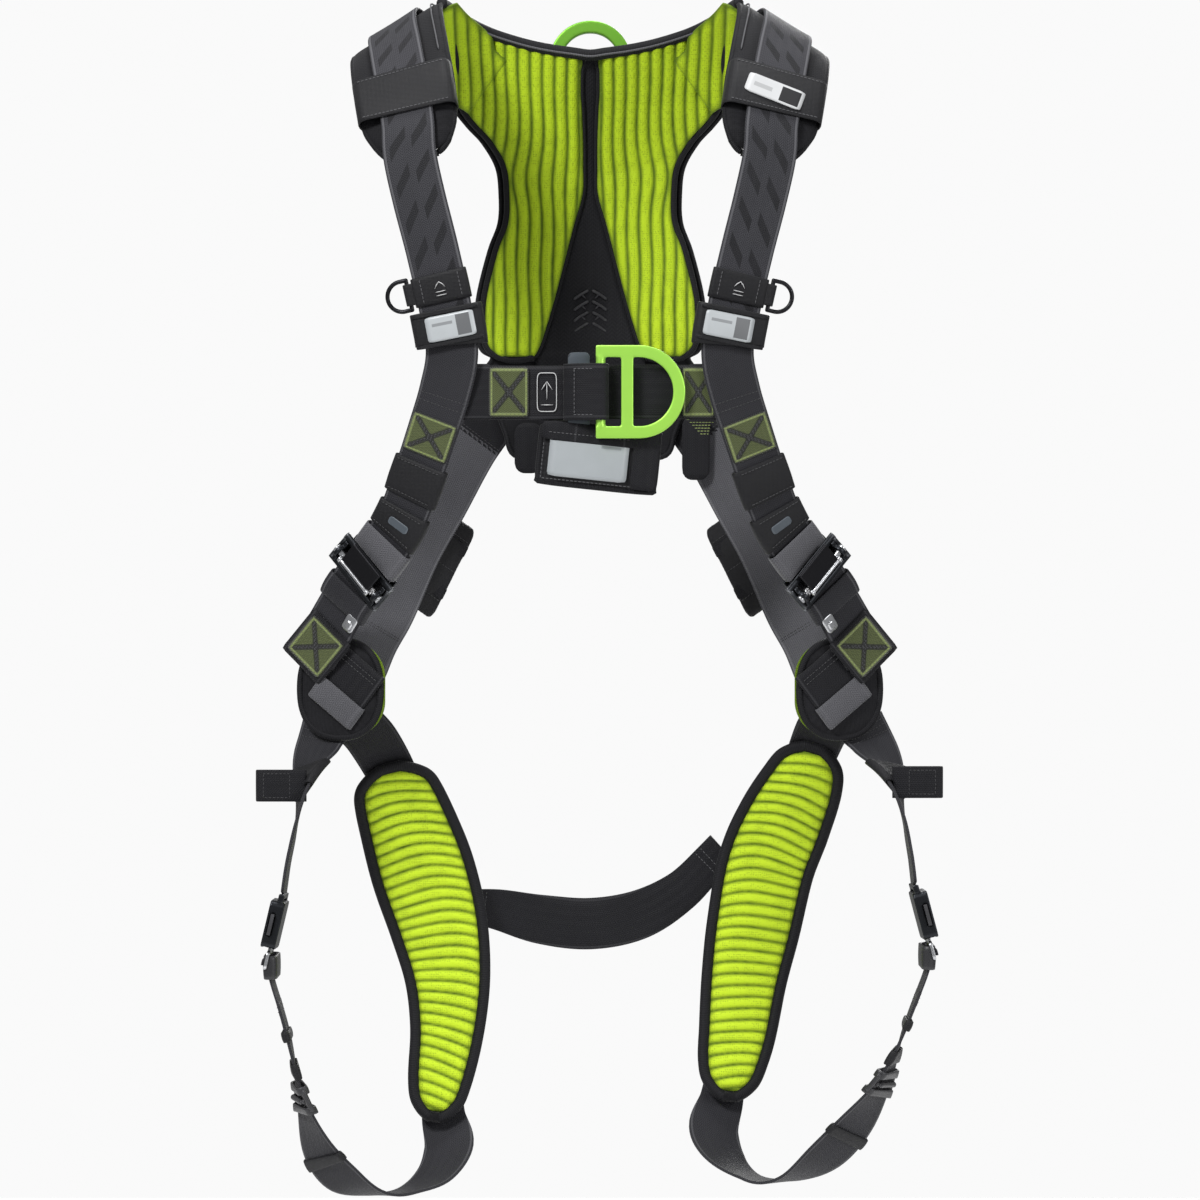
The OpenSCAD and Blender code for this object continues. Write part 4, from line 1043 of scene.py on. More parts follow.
# Tabs, labels and keepers on the front webbing
LANYARD_S, LABEL_S = chest_at(2.6), chest_at(3.35)
half_tab = (chest_at(2.84) - chest_at(2.36)) / 2
tabs = Soup()
sleeve(tabs, front_line, LANYARD_S - half_tab, LANYARD_S + half_tab, WEB_W + 0.7, WEB_T + 0.7, puff=0.5)
p, w, o, t = front_line.axes(LANYARD_S)
BAR_X = -28
turns = [p + w * (BAR_X + 6.2) + o * 1.4]
turns += [p + w * (BAR_X + 3.0 * math.cos(a)) + o * 3.0 * math.sin(a)
          for a in np.radians([60, 100, 140, 180, 220, 260, 300])]
turns += [p + w * (BAR_X + 6.2) - o * 1.4]
webbing(tabs, path(turns, t), wide=18, thick=1.6, pitch=1.2, ripple=0)
tabs.mirror().make("lanyard_tab_cloth", "pouch/black_webbing", "lanyard_tabs")
tab_marks = Soup()
on = flat_on(front_line, LANYARD_S)
for x, l in ((-16, 0), (17, 0)):
    seam(tab_marks, on, [(x, -half_tab + 2), (x, half_tab - 2)], WEB_T / 2 + WALL + 1.0)
tab_marks.mirror().make("lanyard_tab_stitches", "grey_thread/black_webbing")
sign = Soup()
SIGN_H = WEB_T / 2 + WALL + 1.4
for marks_here in (((-4.5, 0), (0, -5), (4.5, 0)), ((-4.5, 3), (0, 3.1), (4.5, 3)),
                   ((-4.5, 6), (0, 6.1), (4.5, 6))):
    tube(sign, [on.put(a, SIGN_H, b) for a, b in marks_here], 0.8, 0.5, up=tuple(on.o), sides=6, steps=2)
sign.mirror().make("lanyard_tab_prints", "white")

frames = Soup()
half_l = (chest_at(3.77) - chest_at(2.93)) / 2
sleeve(frames, front_line, LABEL_S - half_l, LABEL_S + half_l, WEB_W + 14, WEB_T + 6, puff=0.5)
on = flat_on(front_line, LABEL_S)
FRAME_H = (WEB_T + 6) / 2 + WALL + 0.5
for s0, s1, x0, x1 in ((-half_l + 1, -half_l + 4, -29, 29), (half_l - 4, half_l - 1, -29, 29)):
    plate(frames, on, x1 - x0, s1 - s0, 1.2, 1.4, h=FRAME_H - 0.2, x=(x0 + x1) / 2, s=(s0 + s1) / 2)
frames.mirror().make("label_frames", "pouch", "label_keepers")
cards = Soup()
plate(cards, on, 42, 21, 0.7, 2.5, h=FRAME_H + 0.1, x=3, dome=0.5)
cards.mirror(printed=True)
cards.make("strap_cards", "card")

holders = Soup()
for a, b in ((6.65, 7.45), (7.7, 8.4)):
    sleeve(holders, front_line, chest_at(a), chest_at(b), WEB_W + 2, WEB_T + 2.5, puff=0.9)
holders.mirror().make("strap_sleeves", "pouch", "strap_keepers")
satin = Soup()
a, b = chest_at(8.6), chest_at(9.05)
sleeve(satin, front_line, a - 4, b + 4, WEB_W + 3, WEB_T + 5, puff=0.8)
satin.mirror().make("satin_loops", "satin")
stitched = Soup()
for a, b in ((6.65, 7.45), (7.7, 8.4)):
    for v in (chest_at(a) + 3, chest_at(b) - 3):
        seam(stitched, front_line, [(-21, v), (21, v)], WEB_T / 2 + 1.25 + WALL + 0.9)
window = flat_on(front_line, chest_at(8.05))
stitched.mirror().make("strap_sleeve_stitches", "thread/pouch_fabric")
plate(Soup(), window, 20, 7, 0.9, 2.5, h=WEB_T / 2 + 1.25 + WALL + 0.6, x=2).mirror().make(
    "sleeve_windows", "slate")


def block(soup, threads_soup, cross, on, w, l, h, x=0.0, s=0.0):
    """A sewn block: the stitched field, with raised thread round it and across it."""
    plate(soup, on, w, l, 0.6, 2.5, h=h, x=x, s=s, nx=12, ns=12)
    a, b = w / 2 * 0.87, l / 2 * 0.87
    seam(threads_soup, on, [(x - a, s - b), (x + a, s - b), (x + a, s + b), (x - a, s + b),
                            (x - a, s - b)], h + 0.62)
    for k in (-1, 1):
        for gap in (-0.05, 0.05):
            seam(cross, on, [(x - a * 0.88, s - k * b * (0.86 + gap)),
                             (x + a * 0.88, s + k * b * (0.86 - gap))], h + 0.62, r=0.6)


olive, lime, chest_olive, chest_lime = Soup(), Soup(), Soup(), Soup()
hem, chest_cross = Soup(), Soup()
block(olive, lime, hem, front_line, 42, 33, WEB_T / 2 - 0.1, 0, chest_at(6.1))
for v in (chest_at(5.15), chest_at(5.35)):
    seam(hem, front_line, [(-20, v), (20, v)], WEB_T / 2 + 0.1)
for x in (-20.2, 20.2):
    seam(hem, front_line, [(x, chest_at(4.3)), (x, chest_at(6.6))], WEB_T / 2)

# Hips: round cushion, cornerwise patch, grey keeper
HIP, HIP_YAW = (-212, -6, -560), math.radians(-20)
hip_out = np.array([math.sin(HIP_YAW), -math.cos(HIP_YAW), 0])
hip_on = Plane(HIP, (math.cos(HIP_YAW), math.sin(HIP_YAW), 0), hip_out)
hip = Soup()
rings = []
for v, e in ((-42, .2), (-40.5, .55), (-36, .85), (-28, 1), (-14, 1), (0, 1), (14, 1), (28, 1), (36, .85),
             (40.5, .55), (42, .2)):
    wide = 36.5 * math.sqrt(max(0, 1 - (max(0, abs(v) - 12) / 30.3) ** 2)) if abs(v) < 42 else 6
    a = np.linspace(0, TAU, 36, endpoint=False)
    rings.append(hip_on.put(np.sign(np.cos(a)) * np.abs(np.cos(a)) ** 0.8 * max(wide, 6),
                            np.sin(a) * 2.6 * e, np.full(36, float(v))))
hip.loft(rings)
pad = hip.make("hip_cushion_left", "cover", raw=True)
puff(pad, 0.0022, voxel=0.0016)
other = twin(pad, "hip_cushion_right")
for ob, side in ((pad, "left"), (other, "right")):
    settle(ob, "pad_cover", "hip_pad_" + side)
ring_points = [hip_on.put(37.2 * math.copysign(abs(math.cos(a)) ** 0.85, math.cos(a)), 0,
                          41.2 * math.copysign(abs(math.sin(a)) ** 0.85, math.sin(a)))
               for a in np.linspace(0, TAU, 28, endpoint=False)]
tube(Soup(), ring_points, 2.5, 1.2, up=hip_out, closed=True, sides=8, steps=3).mirror().make(
    "hip_binding", "binding")

lining = Soup()
s = np.linspace(-41, 41, 64)[:, None]
k = np.linspace(-1, 1, 64)[None, :]
halfw = np.maximum(37 * np.sqrt(np.clip(1 - (np.clip(np.abs(s) - 10, 0, 40) / 32) ** 2, 0, 1)), 2)
x = halfw * k + 4
crest = ribs(x / RIB)
fall = np.sqrt(np.clip(np.minimum(halfw * (1 - np.abs(k)), 41 - np.abs(s)) / 7, 0, 1))
rings = np.concatenate([hip_on.put(x, -(1.2 + fall * (1.6 + 2.2 * crest)), s),
                        hip_on.put(x, -0.4, s)[:, ::-1]], 1)
lay = np.zeros_like(rings)
lay[:, :64, 2] = crest * fall
lining.loft(rings, lay)
lining.mirror().make("hip_lining", "green")

p, w, o, t = front_line.axes(front_line.length)
patch_on = Plane(p + o * (WEB_T / 2 + 6 * GAP) - t * 9, w, o)
TURN = math.radians(-7)
patch_on = Plane(patch_on.p, math.cos(TURN) * w - math.sin(TURN) * t, o)
patches = Soup()
plate(patches, patch_on, 46, 46, 1.6, 2.0, h=0, dome=0.4, lay=cloth_along)
plate(patches, patch_on.turned(3), 45, 45, 0.9, 2.0, h=-0.7, x=0.5, s=1.0, lay=cloth_along)
patches.mirror().make("hip_patch_webbing", "black/load_webbing", "hip_patches")
block(olive, lime, hem, patch_on, 39, 39, 1.8)
# Webbing over the hip cushion, with its grey keeper
over_hip = Plane(hip_on.put(4, 4.6, 4), hip_on.w, hip_on.o).turned(38)
webbing(Soup(), over_hip, -34, 21, cup=0.8).mirror().make("hip_webbing", "black")
sleeve(Soup(), over_hip, -2, 20, WEB_W + 1, 3.4, puff=0.8).mirror().make("hip_keeper", "satin")
for v in (-28, -24):
    seam(hem, over_hip, [(-19, v), (19, v)], WEB_T / 2)
# Cam buckle dress: the loop below it, its silver cross bar and pull tab
cam_low = Soup()
a = front_line.at(CAM_U)
sleeve(cam_low, front_line, a + 19, a + 42, WEB_W + 1, WEB_T + 3.5, wall=1.8, puff=2.0)
cam_low.mirror().make("cam_loop", "leg")
pull = Soup()
plate(pull, flat_on(front_line, a + 45), 11, 16, 1.6, 3, h=WEB_T / 2 + 3.2, x=16, dome=0.5)
plate(pull, flat_on(front_line, a + 45), 6, 8, 0.8, 2, h=WEB_T / 2 + 5.0, x=16, s=2, nx=4, ns=4)
pull.mirror().make("cam_pull", "steel")

# Chest band, its ring's loop and the pouch under it
CHEST_Z, CHEST_Y, BAR = -312.5, -97, 9
band_pts = [(x, CHEST_Y + 0.000035 * x * x * 2 - 0.3 * math.sin(x / 26),
             CHEST_Z + 0.4 * math.sin(x / 31)) for x in range(-109, 110, 14)]
band = path(band_pts, (0, 0, 1))
chest_on = Plane((0, CHEST_Y, CHEST_Z), (1, 0, 0), (0, -1, 0))
chest = Soup()
webbing(chest, band, 0, None, ripple=0.35)
for x, wide in ((-94, 26), (94, 26)):
    plate(chest, chest_on, wide, 47, 1.2, 4, h=1.1, x=x, dome=0.6, lay=cloth_across)
chest.make("chest_band", "black", "chest_strap")
for sgn, on_x, wide in ((-1, -67, 33), (1, 90, 27)):
    block(chest_olive, chest_lime, chest_cross, chest_on, wide, 42, 2.0 if sgn < 0 else 2.4, on_x)
corner = Soup()
for k in range(7):
    seam(corner, chest_on, [(78 + k * 2.2, 20.0 + k * 2.4), (105 - k * 1.2, 20.0 + k * 2.4)], -0.2,
         pitch=2.6, long=2.2)
corner.make("chest_corner_stitches", "lime_thread/black_webbing")
BAR_Y = -107
loop_pts = [(-12, BAR_Y + 6.9, CHEST_Z), (2, BAR_Y + 6.6, CHEST_Z)]
loop_pts += [(BAR + 5.6 * math.cos(a), BAR_Y + 5.6 * math.sin(a), CHEST_Z)
             for a in np.radians([75, 40, 0, -40, -80])]
loop_pts += [(0, BAR_Y - 4.6, CHEST_Z), (-8, BAR_Y - 2.4, CHEST_Z), (-16, BAR_Y + 2.0, CHEST_Z),
             (-21, BAR_Y + 6.6, CHEST_Z)]
webbing(Soup(), path(loop_pts, (0, 0, 1)), wide=47, thick=2.4, pitch=1.3, ripple=0.1).make(
    "chest_ring_webbing", "black", "chest_ring_loop")
loop_stitch = Soup()
over = Plane((-8, BAR_Y - 3.6, CHEST_Z), (0.96, -0.28, 0), (-0.28, -0.96, 0))
for v in (-19, 19):
    seam(loop_stitch, over, [(-6, v), (12, v)], 0.2)
seam(loop_stitch, over, [(-5, -19), (-5, 19)], 0.0)
loop_stitch.make("chest_ring_stitches", "grey_thread/black_webbing")

pouch_on = Plane((7, -92.9, -366), (math.cos(math.radians(-6)), 0, math.sin(math.radians(-6))), (0, -1, 0))
bag = Soup()
rings = []
for v, e in ((-24.5, .35), (-23.5, .7), (-21, .95), (-14, 1), (-7, 1), (0, 1), (7, 1), (14, 1), (21, .95),
             (23.5, .7), (24.5, .35)):
    prof = rounded(95 * (0.94 + 0.06 * e), 5.6 * e, 2.4 * e, 6)
    rings.append(pouch_on.put(prof[:, 0], prof[:, 1], np.full(len(prof), float(v))))
bag.loft(rings)
pad = bag.make("label_bag", "pouch", raw=True)
puff(pad, 0.0020, voxel=0.0016)
settle(pad, "pouch_fabric", "label_pouch")
bag_edge = Soup()
corners = [(-44, -24.5), (0, -25), (44, -24.5), (48, -21), (48.5, 0), (48, 21), (44, 24.5), (0, 25),
           (-44, 24.5), (-48, 21), (-48.5, 0), (-48, -21)]
tube(bag_edge, [pouch_on.put(a, 0, b) for a, b in corners], 2.2, 1.2, up=(0, 1, 0), closed=True, sides=8,
     steps=4)
bag_edge.make("label_bag_binding", "binding")
flap = Soup()
plate(flap, pouch_on, 97, 16, 1.4, 4, h=5.6, s=-18, dome=0.8, lay=cloth_along)
plate(flap, pouch_on, 22, 44, 1.4, 5, h=5.4, x=39, s=2, dome=0.6, lay=cloth_along)
flap.make("label_bag_flap", "black/pouch_fabric")
plate(Soup(), pouch_on, 66, 33, 0.6, 3, h=6.0, x=-8, s=3, dome=0.6).make(
    "pouch_card", "plain_card", "label_cards")
bag_marks = Soup()
seam(bag_marks, pouch_on, [(-46, -8), (-46, 22), (46, 22)], 4.8)
seam(bag_marks, pouch_on, [(-43, -16.5), (26, -16.5)], 7.5)
bag_marks.make("label_bag_stitches", "grey_thread")
mark = Soup()
icon = Plane((-35.5, CHEST_Y - 2.1, CHEST_Z), (1, 0, 0), (0, -1, 0))
round_it = [(math.cos(a), math.sin(a)) for a in np.linspace(0, TAU, 32, endpoint=False)]
tube(mark, [icon.put(8 * math.copysign(abs(a) ** 0.3, a), 0, 16 * math.copysign(abs(b) ** 0.3, b))
            for a, b in round_it],
     0.7, 0.6, up=(0, 1, 0), closed=True, sides=6, steps=1)
for a, b in (((-4.5, -2), (0, -9)), ((4.5, -2), (0, -9)), ((0, -8), (0, 6)), ((-5, 10.5), (5, 10.5))):
    tube(mark, [icon.put(a[0], 0, a[1]), icon.put(b[0], 0, b[1])], 0.9, 0.5, up=(0, 1, 0), sides=6, steps=2)
mark.make("chest_mark", "white")

# ---- Straps of the back and hips, step pouches ----
back_line = strap(BACK)
for side, right in SIDES:
    change = back_line.at(5.75)
    webbing(Soup(), back_line, change, None, at=5 if right else 0, ripple=0.3).make(
        "back_webbing_" + side, "grey", "back_strap_" + side, right=right)
    webbing(Soup(), back_line, 0, change + 3, at=5 if right else 0, ripple=0.3).make(
        "back_webbing_top_" + side, "black/grey_webbing", right=right)
for u in (5.7, 9.6, 10.9):
    v = back_line.at(u)
    seam(hem, back_line, [(-20, v), (20, v)], WEB_T / 2 + 0.1)
    seam(hem, back_line, [(-20, v + 3), (20, v + 3)], WEB_T / 2 + 0.1)
    seam(hem, back_line, [(-20, v), (20, v)], -WEB_T / 2 - 0.1)
p, w, o, t = back_line.axes(back_line.at(7.95))
step_on = Plane(p + w * 24 - o * 9.5, w, o)
bag = Soup()
rings = []
for v in np.concatenate([[-46.5, -45.5, -43], np.linspace(-38, 38, 13), [43, 45.5, 46.5]]):
    e = math.sqrt(max(0.05, 1 - (max(0, abs(v) - 36) / 10.6) ** 2))
    prof = rounded(42 * (0.8 + 0.2 * e), 8.5 * e, 3.8 * e, 6)
    rings.append(step_on.put(prof[:, 0], prof[:, 1] + 0.3 * math.sin(v / 6), np.full(len(prof), float(v))))
bag.loft(rings)
pad = bag.make("step_bag_left", "pouch", raw=True)
puff(pad, 0.0026, voxel=0.0018)
other = twin(pad, "step_bag_right")
for ob, side in ((pad, "left"), (other, "right")):
    settle(ob, "pouch_fabric", "step_pouch_" + side)
straps_on_bag = Soup()
for v in (-22, 22):
    plate(straps_on_bag, step_on, 39, 12, 0.9, 2, h=4.4, s=v, lay=cloth_across)
    plate(straps_on_bag, step_on, 39, 12, -0.9, 2, h=-4.4, s=v, lay=cloth_across)
straps_on_bag.mirror().make("step_bag_bands", "black/pouch_fabric")
for v in (-30, 0, 30):
    seam(hem, step_on, [(-17, v), (17, v)], 5.6)

# ---- Legs ----


def pad_half(line, s, inset, end):
    """Half width of a leg pad at s, with round ends."""
    d = np.clip(np.minimum(s, line.length - s) - inset * 0.7, 0, end)
    return (line.wide(s) / 2 - inset) * np.maximum(np.sqrt(1 - (1 - d / end) ** 2), 0.02)


FLAP = {"left": (-264, -34, -641), "right": (-280, -34, -638)}
for side, right in SIDES:
    line = strap(LEG_PAD[side])
    L = line.length
    # Black body behind the mesh
    body = Soup()
    body.add(*pillow(line, 1.5, L - 1.5, lambda s: 2 * pad_half(line, s, 2.0, 20) + 2, 6.5, 2.6, ns=40,
                     square=3.2))
    pad = body.make("leg_cover_" + side, "cover", raw=True, right=right)
    puff(pad, 0.0018, voxel=0.0022)
    settle(pad, "pad_cover", "leg_pad_" + side)
    # Ribbed mesh face, towards the thigh
    n, m = 250, 58
    s = np.linspace(8, L - 6, n)[:, None]
    k = np.linspace(-1, 1, m)[None, :]
    near = np.minimum(s - s[0], s[-1] - s)
    halfw = pad_half(line, s, 7.8, 20)
    x = halfw * k
    lean = 0.17 if side == "left" else 0.15
    crest = ribs((s + lean * x + 1.0 * np.sin(x / 11 + s / 60) + 0.05 * x * x / 10) / 10.2)
    fall = np.clip(np.minimum(halfw - np.abs(x), near) / 8, 0, 1)
    fall = np.sqrt(fall * (2 - fall))
    h = -(1.0 + fall * (2.6 + 2.0 * (1 - k ** 2) + 2.7 * crest))
    rings = np.concatenate([line.put(x, h, s), line.put(x[:, ::8], 0.5, s)[:, ::-1]], 1)
    lay = np.zeros_like(rings)
    lay[:, :m, 2] = crest * fall
    face = Soup()
    face.loft(rings, lay)
    face.make("leg_mesh_" + side, "green_leg", right=right)
    # Bound edge
    ss = np.concatenate([[3.6, 5, 8, 12, 17], np.linspace(24, L - 24, 26),
                         [L - 17, L - 12, L - 8, L - 5, L - 3.6]])
    w_of = [float(pad_half(line, v, 4.0, 20)) for v in ss]
    loop_pts = ([line.put(a, -1.8, v) for a, v in zip(w_of, ss)]
                + [line.put(-a, -1.8, v) for a, v in zip(w_of[::-1], ss[::-1])])
    tube(Soup(), loop_pts, 4.2, 1.15, up=(0, 1, 0), closed=True, sides=10, steps=4).make(
        "leg_binding_" + side, "binding", right=right)
    rim_marks = Soup()
    for sgn in (-1, 1):
        seam(rim_marks, line, [(sgn * (line.wide(v) / 2 - 7), v) for v in np.linspace(14, L - 14, 24)], 6.6)
    for off in (-12, 12):
        seam(rim_marks, line, [(off * 0.9, v) for v in np.linspace(40, L - 40, 20)], 7.6)
    rim_marks.make("leg_cover_stitches_" + side, "grey_thread/pad_cover", right=right)
    # Webbing: up to the hip, down to the buckle, and round under the thigh
    up, low = strap(LEG_UP[side]), strap(LEG_LOW[side])
    legs = Soup()
    webbing(legs, up, ripple=0.2)
    webbing(legs, low, ripple=0.6, at=3)
    fx, fy, fz = FLAP[side]
    fold = [(fx + 25, fy + 1.5, fz), (fx, fy + 1.3, fz), (fx - 13, fy + 1.5, fz),
            (fx - 16.6, fy + 3.2, fz), (fx - 13, fy + 4.7, fz),
            (fx, fy + 4.3, fz), (fx + 25, fy + 4.2, fz)]
    webbing(Soup(), path(fold, (0, 0, 1)), wide=27, thick=2.3, pitch=1.6, ripple=0.1).make(
        "leg_flap_" + side, "black/leg_webbing", right=right)
    legs.make("leg_webbing_" + side, "leg", "leg_strap_" + side, right=right)
    stitches_here = Soup()
    flap_on = Plane((fx, fy + 1.4, fz), (1, 0, 0), (0, -1, 0))
    seam(stitches_here, flap_on, [(-11, -10), (-11, 10), (11, 10), (11, -10), (-11, -10)], 1.3)
    for v in (6, 10, 15, 62, 66):
        seam(stitches_here, up, [(-19, v), (19, v)], WEB_T / 2)
    for v in (5, 9, 24, 28):
        seam(stitches_here, low, [(-19, v), (19, v)], WEB_T / 2)
        seam(stitches_here, low, [(-19, v), (19, v)], -WEB_T / 2)
    for v in (10, 16, 22):
        v = low.length - v
        seam(stitches_here, low, [(-13, v), (13, v)], -WEB_T / 2)
    stitches_here.make("leg_stitches_" + side, "thread/leg_webbing", right=right)
    tuck = [[*line.put(0, 7.5, L - 34), 18, 0, 40], [*line.put(0, 7.5, L - 12), 22, -3, 43]]
    webbing(Soup(), strap(tuck + LEG_PAD_STRAP[side][1:]), ripple=0.2).make(
        "pad_link_" + side, "black", *(["leg_pad_straps"] if side == "left" else []), right=right)
    # Elastic keepers and the adjuster on the lower strap
    rings_here = Soup()
    for u, long in ((0.75, 9), (1.42, 13), (3.3, 10)):
        v = low.at(u)
        sleeve(rings_here, low, v - long / 2, v + long / 2, WEB_W + 1, WEB_T + 1.6, wall=1.2, puff=0.5)
    v = up.at(2)
    sleeve(rings_here, up, v - 13, v + 13, WEB_W + 1, WEB_T + 2.0, wall=1.4, puff=0.7)
    rings_here.make("leg_keepers_" + side, "pouch", right=right)
    adj = Soup()
    a, b = low.at(1.7), low.at(2.25)
    sleeve(adj, low, a, a + 7, WEB_W + 1, WEB_T + 3.6, wall=2.0, puff=0.2)
    sleeve(adj, low, b - 7, b, WEB_W + 1, WEB_T + 3.6, wall=2.0, puff=0.2)
    for x in (-WEB_W / 2 - 1.7, WEB_W / 2 + 1.7):
        tube(adj, [low.put(x, 0, v) for v in np.linspace(a + 2, b - 2, 5)], 2.3, 1.3, sides=10, steps=3)
    tube(adj, [low.put(x, 4.6, (a + b) / 2) for x in (-21, -10, 0, 10, 21)], 2.4, 0.9, sides=12, steps=3)
    for x in (-21, 21):
        tube(adj, [low.put(x, v, (a + b) / 2) for v in (0.5, 2.5, 4.6)], 2.0, 1.0, up=(0, 0, 1), sides=8,
             steps=2)
    adj.make("leg_adjuster_" + side, "plastic/buckle_coat",
             *(["leg_adjusters"] if side == "left" else []), right=right)
    # Slack webbing from the tongue's slot to the lower strap
    buckle = strap(BUCKLE[side])
    at_buckle = buckle.at(BUCKLE_U)
    p, w, o, t = buckle.axes(at_buckle)
    slot_p = p + t * 32
    top = low.put(0, 0, 0.0)
    bend = [slot_p + o * 3.2 + t * 3, slot_p + o * 3.2 - t * 1.5, slot_p + o * 1.8 - t * 3.2,
            slot_p - o * 0.2 - t * 1.2, slot_p - o * 1.0 + t * 3,
            (slot_p + top) / 2 - o * 0.8 + t * 3, low.put(0, 0, 4.0), low.put(0, 0, 12.0)]
    slack = Soup()
    webbing(slack, path(bend, w), wide=43, thick=1.9, pitch=1.5, ripple=0)
    sleeve(Soup(), buckle, at_buckle + 25, at_buckle + 45, 45, 5.0, wall=3.0, puff=0.5).make(
        "leg_grip_" + side, "plastic", body="leg_tongue_" + side, right=right)
    piece = slack.make("tongue_webbing_" + side, "leg", raw=True, right=right)
    flip = np.array([-1 if right else 1, 1, 1])
    tuple(low.put(0, 0, 4.0) * flip * MM)
    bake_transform(piece)

olive.mirror()
olive.make("sewn_blocks", "olive")
lime.mirror().make("sewn_block_threads", "lime_thread")
chest_olive.make("chest_blocks", "olive/black_webbing")
chest_lime.make("chest_block_threads", "lime_thread/black_webbing")
chest_cross.make("chest_block_crosses", "thread/black_webbing")
hem.mirror().make("strap_stitches", "thread")

# Sub-pelvic strap
seat_line = strap(SEAT)
webbing(Soup(), seat_line, -12, seat_line.length + 16, ripple=0.8, cup=1.5).make(
    "seat_webbing", "black/leg_webbing", "seat_strap")
seat_marks = Soup()
for v in (3, 9, seat_line.length - 4, seat_line.length + 2):
    seam(seat_marks, seat_line, [(-13, v), (13, v)], WEB_T / 2)
    seam(seat_marks, seat_line, [(-13, v), (13, v)], -WEB_T / 2)
seat_marks.make("seat_stitches", "grey_thread/leg_webbing")

# ---- Dorsal ring's webbing loop on its plate ----
BAR_Z, RING_Y, LEAN = -48.5, 115.5, math.radians(13)
down = np.array([0, math.sin(LEAN), -math.cos(LEAN)])
ring_mid = np.array([0, RING_Y, BAR_Z])
tail_top = np.array([0, 103.5, BAR_Z]) + np.array([0, math.cos(LEAN), math.sin(LEAN)]) * 5.0
loop_pts = [tail_top + down * 32, tail_top + down * 22, tail_top + down * 12]
loop_pts += [ring_mid + 6.5 * np.array([0, math.cos(a), math.sin(a)])
             for a in np.radians([215, 170, 120, 70, 20, -30, -70])]
loop_pts += [tail_top + down * 13 + np.array([0, 3.4, 0]), tail_top + down * 22 + np.array([0, 2.8, 0]),
             tail_top + down * 31 + np.array([0, 2.6, 0])]
webbing(Soup(), path(loop_pts, (1, 0, 0)), wide=44, thick=2.5, pitch=1.4, ripple=0.1).make(
    "dorsal_webbing", "leg/load_webbing", "dorsal_loop")
dorsal_marks = Soup()
tail_on = Plane(tail_top + down * 22 + np.array([0, 4.2, 0]), (1, 0, 0),
                (0, math.cos(LEAN), math.sin(LEAN)))
for v in (-7, 7):
    seam(dorsal_marks, tail_on, [(-19, v), (19, v)], 0.0)
seam(dorsal_marks, tail_on, [(-19, -7), (19, 7)], 0.0)
seam(dorsal_marks, tail_on, [(-19, 7), (19, -7)], 0.0)
dorsal_marks.make("dorsal_stitches", "lime_thread")

# ---- Hardware: the CAD's own shapes with broken edges, and wound springs ----

def smoother():
    """Two node groups: one welds a mesh and drops its stored normals, one smooths all but sharp edges."""
    weld = bpy.data.node_groups.new("weld", "GeometryNodeTree")
    sharp = bpy.data.node_groups.new("sharp_edges", "GeometryNodeTree")
    for tree in (weld, sharp):
        tree.interface.new_socket("Geometry", in_out="INPUT", socket_type="NodeSocketGeometry")
        tree.interface.new_socket("Geometry", in_out="OUTPUT", socket_type="NodeSocketGeometry")
    n, links = weld.nodes, weld.links
    a, b = n.new("NodeGroupInput"), n.new("NodeGroupOutput")
    merge, drop = n.new("GeometryNodeMergeByDistance"), n.new("GeometryNodeRemoveAttribute")
    merge.inputs["Distance"].default_value = 1e-6
    drop.inputs["Name"].default_value = "custom_normal"
    links.new(a.outputs[0], merge.inputs[0])
    links.new(merge.outputs[0], drop.inputs[0])
    links.new(drop.outputs[0], b.inputs[0])
    n, links = sharp.nodes, sharp.links
    a, b = n.new("NodeGroupInput"), n.new("NodeGroupOutput")
    faces, edges = n.new("GeometryNodeSetShadeSmooth"), n.new("GeometryNodeSetShadeSmooth")
    edges.domain = "EDGE"
    edges.inputs["Shade Smooth"].default_value = False
    angle, over = n.new("GeometryNodeInputMeshEdgeAngle"), n.new("FunctionNodeCompare")
    over.inputs[1].default_value = math.radians(32)
    links.new(a.outputs[0], faces.inputs[0])
    links.new(faces.outputs[0], edges.inputs[0])
    links.new(angle.outputs[0], over.inputs[0])
    links.new(over.outputs[0], edges.inputs["Selection"])
    links.new(edges.outputs[0], b.inputs[0])
    return weld, sharp


WELD, SHARP = smoother()


def dress(node, mat, width=0.0, forged=0.0):
    """Gives a CAD node its material, and breaks its edges: by a bevel, or all over as a forging's are."""
    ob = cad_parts[node]
    for slot in ob.material_slots:
        slot.material = mat
    ob.modifiers.new("weld", "NODES").node_group = WELD
    if forged:
        m = ob.modifiers.new("skin", "REMESH")
        m.mode, m.voxel_size, m.use_smooth_shade = "VOXEL", forged * MM, True
        m = ob.modifiers.new("soften", "SMOOTH")
        m.factor, m.iterations = 0.5, 10
        return
    if width:
        m = ob.modifiers.new("edges", "BEVEL")
        m.width, m.segments, m.limit_method, m.angle_limit = width * MM, 2, "ANGLE", math.radians(34)
        m.use_clamp_overlap = False
    ob.modifiers.new("sharp", "NODES").node_group = SHARP


